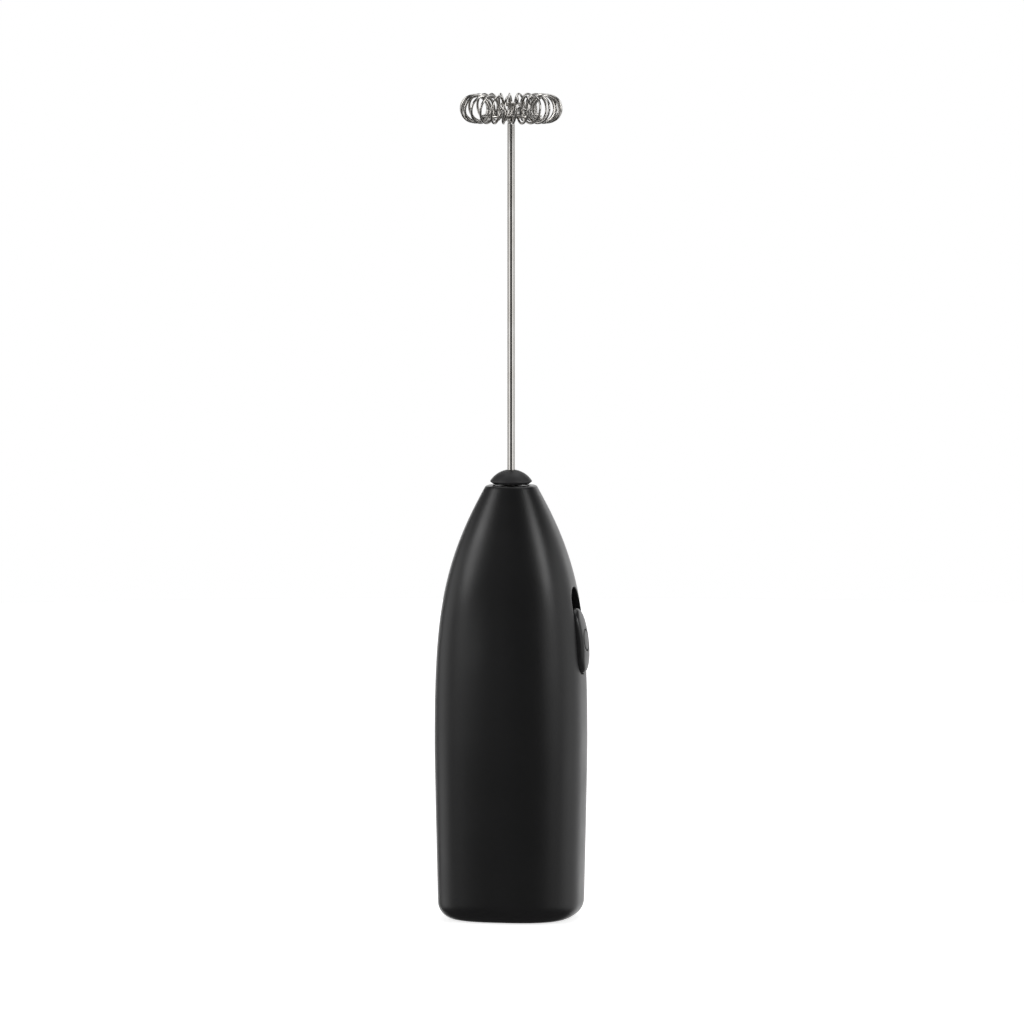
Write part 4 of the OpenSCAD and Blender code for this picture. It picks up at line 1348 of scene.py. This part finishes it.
@dataclass
class ThumbSwitch:
    """The slide switch: a crowned thumb button with a ring pressed in its middle."""

    seat: SwitchPlace
    proud: float = 1.5
    root: float = -3.9
    sag: float = 1.15
    side_sag: float = 0.2
    edge: float = 1.1
    ring_outer: float = 2.95
    ring_inner: float = 2.55
    ring_depth: float = 0.3

    def face_height(self, across: float, along: float) -> float:
        """How far the crowned face stands out at a place."""
        half = self.seat.button_h / 2
        bow = (half ** 2 + self.sag ** 2) / (2 * self.sag)
        lean = self.side_sag * (across / (self.seat.button_w / 2)) ** 2
        return self.proud - (bow - math.sqrt(bow ** 2 - along ** 2)) - lean

    def outline(self, angle: float, inset: float) -> Point:
        """The stadium's edge in a direction from the middle, set in by a little."""
        radius = self.seat.button_w / 2 - inset
        straight = (self.seat.button_h - self.seat.button_w) / 2
        across, along = math.cos(angle), math.sin(angle)
        if abs(along) * radius <= straight * abs(across):
            return math.copysign(radius, across), radius * along / abs(across)
        reach = straight * abs(along)
        root = math.sqrt(reach ** 2 - straight ** 2 + radius ** 2)
        return across * (reach + root), along * (reach + root)

    def make(self) -> None:
        """Makes the button in one closed skin and puts it on the switch's body."""
        skin, sides = Skin(), 120
        angles = [math.tau * i / sides for i in range(sides)]
        lip = 0.09
        rings: list[tuple[float, float]] = [(r, 0.0) for r in (0.6, 1.3, 2.0)]
        rings += [(self.ring_inner - lip, 0.0), (self.ring_inner, lip * 0.6),
                  (self.ring_inner + 0.04, self.ring_depth),
                  (self.ring_outer - 0.04, self.ring_depth), (self.ring_outer, lip * 0.6),
                  (self.ring_outer + lip, 0.0)]
        rows = []
        for radius, deep in rings:
            rows.append([self.seat.place(
                self.face_height(radius * math.cos(a), radius * math.sin(a)) - deep,
                radius * math.cos(a), radius * math.sin(a)) for a in angles])
        inner = self.ring_outer + lip
        for k in range(1, 9):
            row = []
            for a in angles:
                rim = self.outline(a, self.edge)
                share = k / 8
                across = inner * math.cos(a) * (1 - share) + rim[0] * share
                along = inner * math.sin(a) * (1 - share) + rim[1] * share
                row.append(self.seat.place(self.face_height(across, along), across, along))
            rows.append(row)
        for turn in quarter(6)[1:]:
            row = []
            for a in angles:
                across, along = self.outline(a, self.edge * (1 - math.sin(turn)))
                deep = self.edge * (1 - math.cos(turn))
                row.append(self.seat.place(self.face_height(across, along) - deep,
                                           across, along))
            rows.append(row)
        rows.append([self.seat.place(self.root, *self.outline(a, 0)) for a in angles])
        made = [skin.row(r) for r in rows]
        for low, high in zip(made, made[1:]):
            skin.bridge(low, high, closed=True)
        skin.disc(made[0], 2)
        skin.disc(made[-1], 3)
        button = skin.build("thumb_button", BUTTON_ABS)
        place(button, "switch", BUTTON_ABS, "switch_button")
        dress("switch_slider", SLIDER_POM)
        dress("sliding_contact", BRASS)
        dress("fixed_contacts", BRASS)


def dress(node: str, finish: Finish) -> None:
    """Gives a CAD node that stays its finish."""
    obj = frame["nodes"][node]
    if not obj.material_slots:
        obj.data.materials.append(finish.material())
    for slot in obj.material_slots:
        slot.material = finish.material()
    LOG.info("%s keeps its CAD shape, in %s", node, finish.name)


# ---------------------------------------------------------------- rod and whisk


@dataclass
class Whisk:
    """The rod with its splash collar, and the wound whisk on its tip."""

    rod_radius: float = 1.0
    wire: float = 0.65
    loop: float = 7.6
    across: float = 26.9
    turns: int = 25
    prong: float = 0.8
    hub_radius: float = 2.7
    collar_height: float = 3.8
    collar_lip: float = 0.85

    def rod(self) -> None:
        """The rod, ground flat at its ends with a small chamfer."""
        low, high = box_mm("whisk_rod")
        r = self.rod_radius
        length = high.z - low.z
        profile = [(0, 0), (r - 0.15, 0), (r, 0.15), (r, length - 0.12), (r - 0.12, length),
                   (0, length)]
        piece = turned(profile, "rod", ROD_STEEL, foot=Vector((0, 0, low.z)), crease=25)
        place(piece, "whisk", ROD_STEEL, "whisk_rod")

    def collar(self) -> None:
        """The splash collar: a flat foot, a thin lip and a dome over it."""
        low, high = box_mm("splash_collar")
        lip, rise = high.x, self.collar_height - self.collar_lip
        dome = (lip ** 2 + rise ** 2) / (2 * rise)
        turns = np.linspace(math.asin(lip / dome), math.asin((self.rod_radius + 0.1) / dome), 14)
        arc = [(dome * math.sin(a), self.collar_height - dome * (1 - math.cos(a)))
               for a in turns]
        foot = rounded([(self.rod_radius, 0), (lip - 0.8, 0), (lip, 0.6), arc[0],
                        arc[1]], [0, 0.15, 0.1, 0.1, 0], 4)
        neck = [(self.rod_radius, arc[-1][1] - 0.1)]
        profile = foot + arc[2:] + neck
        piece = turned(profile, "collar", COLLAR_PP, foot=Vector((0, 0, low.z)), closed=True)
        place(piece, "whisk", COLLAR_PP, "splash_collar")

    def coil(self) -> None:
        """The whisk's wire, wound in loops round a circle by the wound_ring tree."""
        low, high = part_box("whisk_coil")
        values = {"Turns": self.turns, "Steps": 40,
                  "Ring radius": (self.across - self.loop) / 2 * MM,
                  "Loop radius": (self.loop - self.wire) / 2 * MM,
                  "Wire radius": self.wire / 2 * MM, "Height": (low.z + high.z) / 2}
        piece = wound_ring().grow("whisk_coil_wire", WIRE_STEEL, values)
        place(piece, "whisk", WIRE_STEEL, "whisk_coil")

    def ring(self) -> None:
        """The round wire inside the coil that the coil hangs on."""
        low, high = box_mm("whisk_ring")
        radius, r = high.x - self.prong / 2, self.prong / 2
        circle = [(radius + r * math.cos(a), (low.z + high.z) / 2 + r * math.sin(a))
                  for a in np.linspace(0, math.tau, 17)[:-1]]
        piece = turned(circle, "whisk_ring_wire", WIRE_STEEL, sides=128, closed=True)
        place(piece, "whisk", WIRE_STEEL, "whisk_ring")

    def hub(self) -> None:
        """The pressed hub: a thin disc with a rolled edge and a riveted middle."""
        low, high = box_mm("whisk_hub")
        r, height = self.hub_radius, high.z - low.z
        profile = rounded([(0, 0), (r - 0.35, 0), (r, 0.2), (r, height - 0.3),
                           (r - 0.3, height - 0.12), (1.35, height - 0.12), (1.1, height),
                           (0, height)], [0, 0.15, 0.15, 0.2, 0.15, 0.05, 0.1, 0], 4)
        piece = turned(profile, "whisk_hub_disc", WIRE_STEEL, foot=Vector((0, 0, low.z)))
        place(piece, "whisk", WIRE_STEEL, "whisk_hub")

    def prongs(self) -> None:
        """Three bent prongs, one wire set out three times round the rod."""
        ring_low, ring_high = box_mm("whisk_ring")
        hub_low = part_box("whisk_hub")[0].z / MM
        rod_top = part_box("whisk_rod")[1].z / MM
        ring = Vector((ring_high.x - self.prong / 2, 0, (ring_low.z + ring_high.z) / 2))
        route = [Vector((0.5, 0, rod_top)),
                 Vector((self.hub_radius - 0.6, 0, hub_low - self.prong / 2)), ring]
        wire = bent_wire(route, self.prong / 2, "prong", WIRE_STEEL)
        pitch = math.tau / self.turns
        first = [pitch * (round(math.radians(a) / pitch) + 0.05) for a in (35, 155, 275)]
        parts = []
        for number, angle in enumerate(first):
            parts.append(set_out().grow(
                f"whisk_prong_{number + 1}", WIRE_STEEL,
                {"Piece": wire, "Turn": (0.0, 0.0, angle), "Step angle": 0.0},
                seats([Vector()], "seat")))
        joined = join(parts, "whisk_prongs_wire")
        bpy.data.objects.remove(wire)
        place(joined, "whisk", WIRE_STEEL, "whisk_prongs")

    def make(self) -> None:
        """Makes the rod, the collar and every wire of the whisk."""
        self.rod()
        self.collar()
        self.hub()
        self.ring()
        self.prongs()
        self.coil()


def join(parts: list[bpy.types.Object], name: str) -> bpy.types.Object:
    """Joins pieces that are one part into one object."""
    work = bmesh.new()
    for part in parts:
        work.from_mesh(part.data)
    mesh = bpy.data.meshes.new(name)
    work.to_mesh(mesh)
    work.free()
    mesh.materials.append(parts[0].data.materials[0])
    for part in parts:
        bpy.data.objects.remove(part)
    return put_in(name, mesh)


def bent_wire(route: list[Vector], radius: float, name: str,
              finish: Finish) -> bpy.types.Object:
    """Sweeps a round wire along a route with eased bends and domed ends.

    Args:
        route: the corners of its path, in millimetres.
        radius: half of the wire's thickness.
        name: the piece's name.
        finish: its finish.

    Returns:
        The object.
    """
    path = [route[0]]
    for before, corner, after in zip(route, route[1:], route[2:]):
        reach = min(2.2 * radius, (corner - before).length * 0.45,
                    (after - corner).length * 0.45)
        start = corner + (before - corner).normalized() * reach
        end = corner + (after - corner).normalized() * reach
        for k in range(7):
            t = k / 6
            path.append(start * (1 - t) ** 2 + corner * 2 * t * (1 - t) + end * t ** 2)
    path.append(route[-1])
    skin, sides = Skin(), 16
    rows = []
    side = None
    for i, spot in enumerate(path):
        along = (path[min(i + 1, len(path) - 1)] - path[max(i - 1, 0)]).normalized()
        if side is None:
            side = along.orthogonal().normalized()
        side = (side - along * side.dot(along)).normalized()
        over = along.cross(side)
        ends = {0: -1, len(path) - 1: 1}
        if i in ends:
            dome = [(radius * math.cos(a), radius * 0.6 * math.sin(a)) for a in quarter(4)]
            dome = dome[::-1] if i == 0 else dome
        else:
            dome = [(radius, 0.0)]
        for r, h in dome:
            spot_h = spot + along * h * ends.get(i, 0)
            rows.append(skin.row([spot_h + side * (r * math.cos(math.tau * k / sides))
                                  + over * (r * math.sin(math.tau * k / sides))
                                  for k in range(sides)]))
    for low, high in zip(rows, rows[1:]):
        skin.bridge(low, high, closed=True)
    return skin.build(name, finish)


# ---------------------------------------------------------------- inside the handle


@dataclass
class Cells:
    """The two cells with their springs and contacts."""

    radius: float = 7.1
    length: float = 49.0
    nub_radius: float = 2.6
    film_lap: float = 1.5
    film_sink: float = 0.06
    film_corner: float = 0.25
    film_depth: float = 0.5
    wire: float = 0.7
    spring_turns: float = 3.0
    spring_wide: float = 4.0
    spring_narrow: float = 2.2

    def cell(self, node: str, name: str, upright: bool) -> None:
        """One cell: a film jacket, steel ends and the positive nub.

        Args:
            node: the CAD node it stands for.
            name: the start of its pieces' names.
            upright: whether the nub is on top.
        """
        low, high = box_mm(node)
        middle = (low + high) / 2
        nub = high.z - low.z - self.length
        foot = low.z if upright else low.z + nub
        r, length = self.radius, self.length
        lap, corner = r - self.film_lap, r - self.film_corner
        sink, depth = self.film_sink, self.film_depth
        film = [(lap, sink), (corner, sink), (r, depth), (r, length - depth),
                (corner, length - sink), (lap, length - sink), (lap, length - depth),
                (lap, depth)]
        film = rounded(film, [0.05, 0.3, 0.3, 0.3, 0.3, 0.05, 0.1, 0.1], 4, closed=True)
        jacket = turned(film, f"{name}_jacket", JACKET if upright else JACKET_DOWN,
                        foot=Vector((middle.x, 0, foot)), closed=True)
        place(jacket, "handle", JACKET, node)
        ends = [(0, 0.25), (2.4, 0.25), (2.8, 0.0), (r - 1.4, 0.0), (r - 1.4, length),
                (self.nub_radius + 0.9, length), (self.nub_radius + 0.5, length - 0.35),
                (self.nub_radius, length - 0.2), (self.nub_radius, length + nub),
                (0, length + nub)]
        ends = rounded(ends, [0, 0.2, 0.2, 0.1, 0.1, 0.15, 0.15, 0.15, 0.25, 0], 4)
        if not upright:
            ends = [(a, length - b) for a, b in ends]
        can = turned(ends, f"{name}_can", CELL_STEEL, foot=Vector((middle.x, 0, foot)))
        place(can, "handle", CELL_STEEL)

    def springs(self) -> None:
        """The two conical springs, grown by one tree."""
        recipe = cone_spring()
        for node, wide_foot in (("cell_spring", True), ("negative_spring", False)):
            low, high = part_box(node)
            r = self.wire / 2 * MM
            wide, narrow = self.spring_wide * MM, self.spring_narrow * MM
            radii = (wide, narrow) if wide_foot else (narrow, wide)
            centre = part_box("cell_left" if node == "cell_spring" else "cell_right")
            spot = (centre[0] + centre[1]) / 2
            values = {"Turns": self.spring_turns, "Foot radius": radii[0], "Top radius": radii[1],
                      "Rise": high.z - low.z - 2 * r, "Wire radius": r,
                      "Foot": (spot.x, spot.y, low.z + r)}
            piece = recipe.grow(f"{node}_wire", SPRING_STEEL, values)
            place(piece, "handle", SPRING_STEEL, node)

    def make(self) -> None:
        """Makes the cells and springs and dresses the stamped contacts."""
        self.cell("cell_left", "left_cell", True)
        self.cell("cell_right", "right_cell", False)
        self.springs()
        dress("cell_bridge", CONTACT_STEEL)
        dress("negative_contact", BRASS)
        dress("positive_contact", BRASS)


@dataclass
class InnerFrame:
    """The battery tray and motor cradle, and the screws that hold the handle together."""

    head_radius: float = 1.9
    head: float = 1.1
    shank_radius: float = 1.0

    def screw(self, length: float) -> bpy.types.Object:
        """A pan-head screw with a cross recess and a rolled thread, its head at the origin.

        Args:
            length: of the shank under the head.

        Returns:
            The screw, pointing down.
        """
        r, head = self.shank_radius, self.head
        profile = [(0, -length), (0.3, -length)]
        pitch, depth = 0.8, 0.18
        h = -length + 0.5
        while h < -0.7:
            profile += [(r - depth, h), (r, h + pitch * 0.4), (r, h + pitch * 0.5)]
            h += pitch
        profile += [(r - depth, -0.25), (r, 0.0), (self.head_radius, 0.0)]
        dome = [(self.head_radius * math.cos(a) ** 0.5, 0.35 + (head - 0.35) * math.sin(a))
                for a in quarter(6)]
        piece = turned(profile + dome[:-1] + [(0, head)], "screw", SCREW_STEEL, sides=32,
                       crease=30)
        cuts = [block(Vector((-a, -b, head - 0.5)), Vector((a, b, head + 0.4)), "recess",
                      SCREW_STEEL, 0.05) for a, b in ((1.1, 0.26), (0.26, 1.1))]
        carve(piece, cuts, adding=False)
        return piece

    def screws(self) -> None:
        """Sets the screws on their seats, one mesh for each CAD node."""
        for node in ("tray_screws", "cradle_screws", "rear_screw"):
            low, high = box_mm(node)
            length = high.y - low.y - self.head
            screw = self.screw(length)
            r = self.head_radius
            seat_y = high.y - self.head
            if high.x - low.x > 3 * r:
                spots = [(low.x + r, (low.z + high.z) / 2), (high.x - r, (low.z + high.z) / 2)]
            elif high.z - low.z > 3 * r:
                spots = [(0.0, low.z + r), (0.0, high.z - r)]
            else:
                spots = [((low.x + high.x) / 2, (low.z + high.z) / 2)]
            points = [Vector((x, seat_y, z)) for x, z in spots]
            piece = set_out().grow(
                f"{node}_set", SCREW_STEEL,
                {"Piece": screw, "Turn": (math.radians(-90), 0.0, 0.0), "Step angle": 0.9},
                seats(points, "seats"))
            bpy.data.objects.remove(screw)
            place(piece, "handle", SCREW_STEEL, node)

    def make(self) -> None:
        """Softens the frame's mouldings and sets the screws."""
        for node, name in (("battery_tray", "battery_tray_moulding"),
                           ("motor_cradle", "motor_cradle_moulding")):
            piece = softened_copy(node, name, FRAME_PS, 0.2)
            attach(piece, "handle")
            LOG.info("%s: %d faces", name, len(piece.data.polygons))
        self.screws()


@dataclass
class Drive:
    """The motor, its leads, the nose bush with its seal, and the coupling."""

    bore: float = 1.05
    neck: float = 4.45
    flange_height: float = 1.4

    def make(self) -> None:
        """Turns the bush and seal, and dresses the motor's CAD parts."""
        low, high = box_mm("nose_bush")
        seal_low, seal_high = box_mm("nose_seal")
        bore, neck, flange, thick = self.bore, self.neck, high.x, self.flange_height
        bush = [(bore, 0), (flange, 0), (flange, thick), (neck, thick), (neck, high.z - low.z),
                (seal_high.x, high.z - low.z), (seal_high.x, seal_low.z - low.z),
                (bore, seal_low.z - low.z)]
        bush = rounded(bush, [0.1, 0.3, 0.3, 0.3, 0.25, 0.1, 0.05, 0.05], 3, closed=True)
        piece = turned(bush, "nose_bush_turning", BUSH_POM, foot=Vector((0, 0, low.z)),
                       closed=True)
        place(piece, "handle", BUSH_POM, "nose_bush")
        height = seal_high.z - seal_low.z
        seal = [(bore, 0), (seal_high.x, 0), (seal_high.x, height), (1.9, height),
                (1.5, height - 0.35), (bore, height - 0.1)]
        seal = rounded(seal, [0.1, 0.1, 0.15, 0.15, 0.2, 0.05], 3, closed=True)
        piece = turned(seal, "nose_seal_ring", SEAL_RUBBER, foot=Vector((0, 0, seal_low.z)),
                       closed=True)
        place(piece, "handle", SEAL_RUBBER, "nose_seal")
        for node, finish in {
                "motor_can": MOTOR_STEEL, "motor_end_cap": CAP_PA, "motor_magnets": FERRITE,
                "motor_terminals": BRASS, "motor_brushes": BRASS, "noise_capacitor": CERAMIC,
                "rotor_shaft": MOTOR_STEEL, "rotor_core": MOTOR_STEEL,
                "rotor_windings": COPPER, "commutator": COPPER,
                "shaft_coupling": COUPLING_PA, "lead_battery": LEAD_BLACK,
                "lead_motor": LEAD_RED, "lead_switch": LEAD_RED}.items():
            dress(node, finish)


# ---------------------------------------------------------------- studio


@dataclass(frozen=True)
class LitCard(SoftSkin):
    """Opal card lit from below, as on a product table: white, with only a faint shadow."""

    glow: float = 0.72

    def dress(self, tree: bpy.types.NodeTree, shader: bpy.types.Node,
              place: bpy.types.NodeSocket) -> None:
        """The card's mottle, and its glow."""
        super().dress(tree, shader, place)
        shader.inputs["Emission Color"].default_value = linear("#ffffff")
        shader.inputs["Emission Strength"].default_value = self.glow


FLOOR = LitCard("opal_card_floor", "", "#f4f4f4", 0.8, 2.0, 0.01, bloom="#efefef")


@dataclass
class Softbox:
    """One studio light: where it is, how big and how strong."""

    name: str
    azimuth: float
    elevation: float
    distance: float
    width: float
    height: float
    power: float
    aim_z: float = 0.07

    def make(self) -> None:
        """Hangs the light and points it at the handle."""
        data = bpy.data.lights.new(self.name, "AREA")
        data.shape = "RECTANGLE"
        data.size, data.size_y = self.width, self.height
        data.energy = self.power
        light = put_in(self.name, data)
        a, e = math.radians(self.azimuth), math.radians(self.elevation)
        aim = Vector((0, 0, self.aim_z))
        way = Vector((math.sin(a) * math.cos(e), -math.cos(a) * math.cos(e), math.sin(e)))
        light.location = aim + way * self.distance
        light.rotation_euler = way.to_track_quat("Z", "Y").to_euler()
        light.visible_camera = False


@dataclass
class Studio:
    """A pale floor, soft boxes at both sides and a long lens."""

    azimuth: float = 12.0
    aside: float = 0.000235
    distance: float = 2.5
    camera_z: float = 0.316
    aim_z: float = 0.1066
    view_height: float = 0.2678
    sensor: float = 36.0
    floor_radius: float = 900.0

    def camera(self) -> None:
        """Sets the camera up: nearly level, a long way off, a little to the switch's side."""
        data = bpy.data.cameras.new("camera")
        camera = put_in("camera", data)
        a = math.radians(self.azimuth)
        aside = Vector((math.cos(a), math.sin(a), 0)) * self.aside
        camera.location = aside + Vector((self.distance * math.sin(a),
                                          -self.distance * math.cos(a), self.camera_z))
        aim = aside + Vector((0, 0, self.aim_z))
        away = camera.location - aim
        camera.rotation_euler = away.to_track_quat("Z", "Y").to_euler()
        data.sensor_width = self.sensor
        data.lens = self.sensor * away.length / self.view_height
        data.clip_start, data.clip_end = 0.05, 60
        bpy.context.scene.camera = camera

    def floor(self) -> None:
        """Lays a wide pale floor that takes a soft shadow."""
        skin = Skin()
        ring = skin.row([Vector((self.floor_radius * math.cos(a),
                                 self.floor_radius * math.sin(a), 0.0))
                         for a in (math.tau * i / 96 for i in range(96))])
        skin.disc(ring, 6)
        floor = skin.build("floor", FLOOR)
        floor.visible_glossy = False

    def sky(self) -> None:
        """Surrounds the scene with a pale paper sweep that barely lights the object."""
        world = bpy.data.worlds.new("sweep")
        bpy.context.scene.world = world
        world.use_nodes = True
        tree = world.node_tree
        tree.nodes.clear()
        seen = add(tree, "ShaderNodeBackground",
                   {"Color": (1.0, 1.0, 1.0, 1.0), "Strength": 1.0})
        felt = add(tree, "ShaderNodeBackground",
                   {"Color": (1.0, 1.0, 1.0, 1.0), "Strength": 0.08})
        path = add(tree, "ShaderNodeLightPath")
        both = add(tree, "ShaderNodeMixShader", links={
            0: path.outputs["Is Camera Ray"], 1: felt.outputs[0], 2: seen.outputs[0]})
        add(tree, "ShaderNodeOutputWorld", links={"Surface": both.outputs[0]})

    def make(self) -> None:
        """Sets up the camera, the floor, the sweep and the lights."""
        self.camera()
        self.floor()
        self.sky()
        for box in (
                Softbox("left_wide_box", -75, 0, 0.8, 1.1, 0.7, 0.55),
                Softbox("left_core_box", -102, 0, 0.75, 0.55, 0.7, 0.75),
                Softbox("left_rod_strip", -40, 0, 0.8, 0.62, 0.14, 0.33, 0.1),
                Softbox("left_high_box", -58, 32, 0.8, 0.3, 0.4, 1.8),
                Softbox("right_wide_box", 92, 0, 0.8, 1.1, 0.7, 0.6),
                Softbox("right_core_box", 128, 0, 0.75, 1.0, 0.7, 1.0),
                Softbox("right_rod_strip", 64, 0, 0.8, 0.62, 0.14, 0.33, 0.1),
                Softbox("right_high_box", 72, 32, 0.8, 0.3, 0.4, 1.8),
                Softbox("back_panel", 190, 0, 1.3, 1.4, 1.4, 8.0),
                Softbox("top_box", 180, 66, 1.2, 0.9, 0.9, 3.5)):
            box.make()
        scene = bpy.context.scene
        scene.view_settings.view_transform = "Standard"
        scene.view_settings.look = "None"


def main() -> None:
    """Builds the looks in order."""
    logging.basicConfig(level=logging.INFO, format="%(name)s: %(message)s")
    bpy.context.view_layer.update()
    Studio().make()
    outline = Outline()
    slide = next(j for j in frame["record"]["behaviour"]["joints"]
                 if j["name"] == "switch_slide")
    axis = Vector(slide["axis"]).normalized()
    button_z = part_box("motor_can")[0].z / MM - END_CAP_HEIGHT + BUTTON_RISE
    centre = Vector((outline.half_x(button_z), 0, button_z))
    seat = SwitchPlace(centre, axis)
    LOG.info("switch at %s, slide %s", centre, axis)
    Handle(outline, seat).make()
    ThumbSwitch(seat).make()
    Whisk().make()
    Cells().make()
    InnerFrame().make()
    Drive().make()
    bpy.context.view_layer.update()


if __name__ == "__main__":
    main()
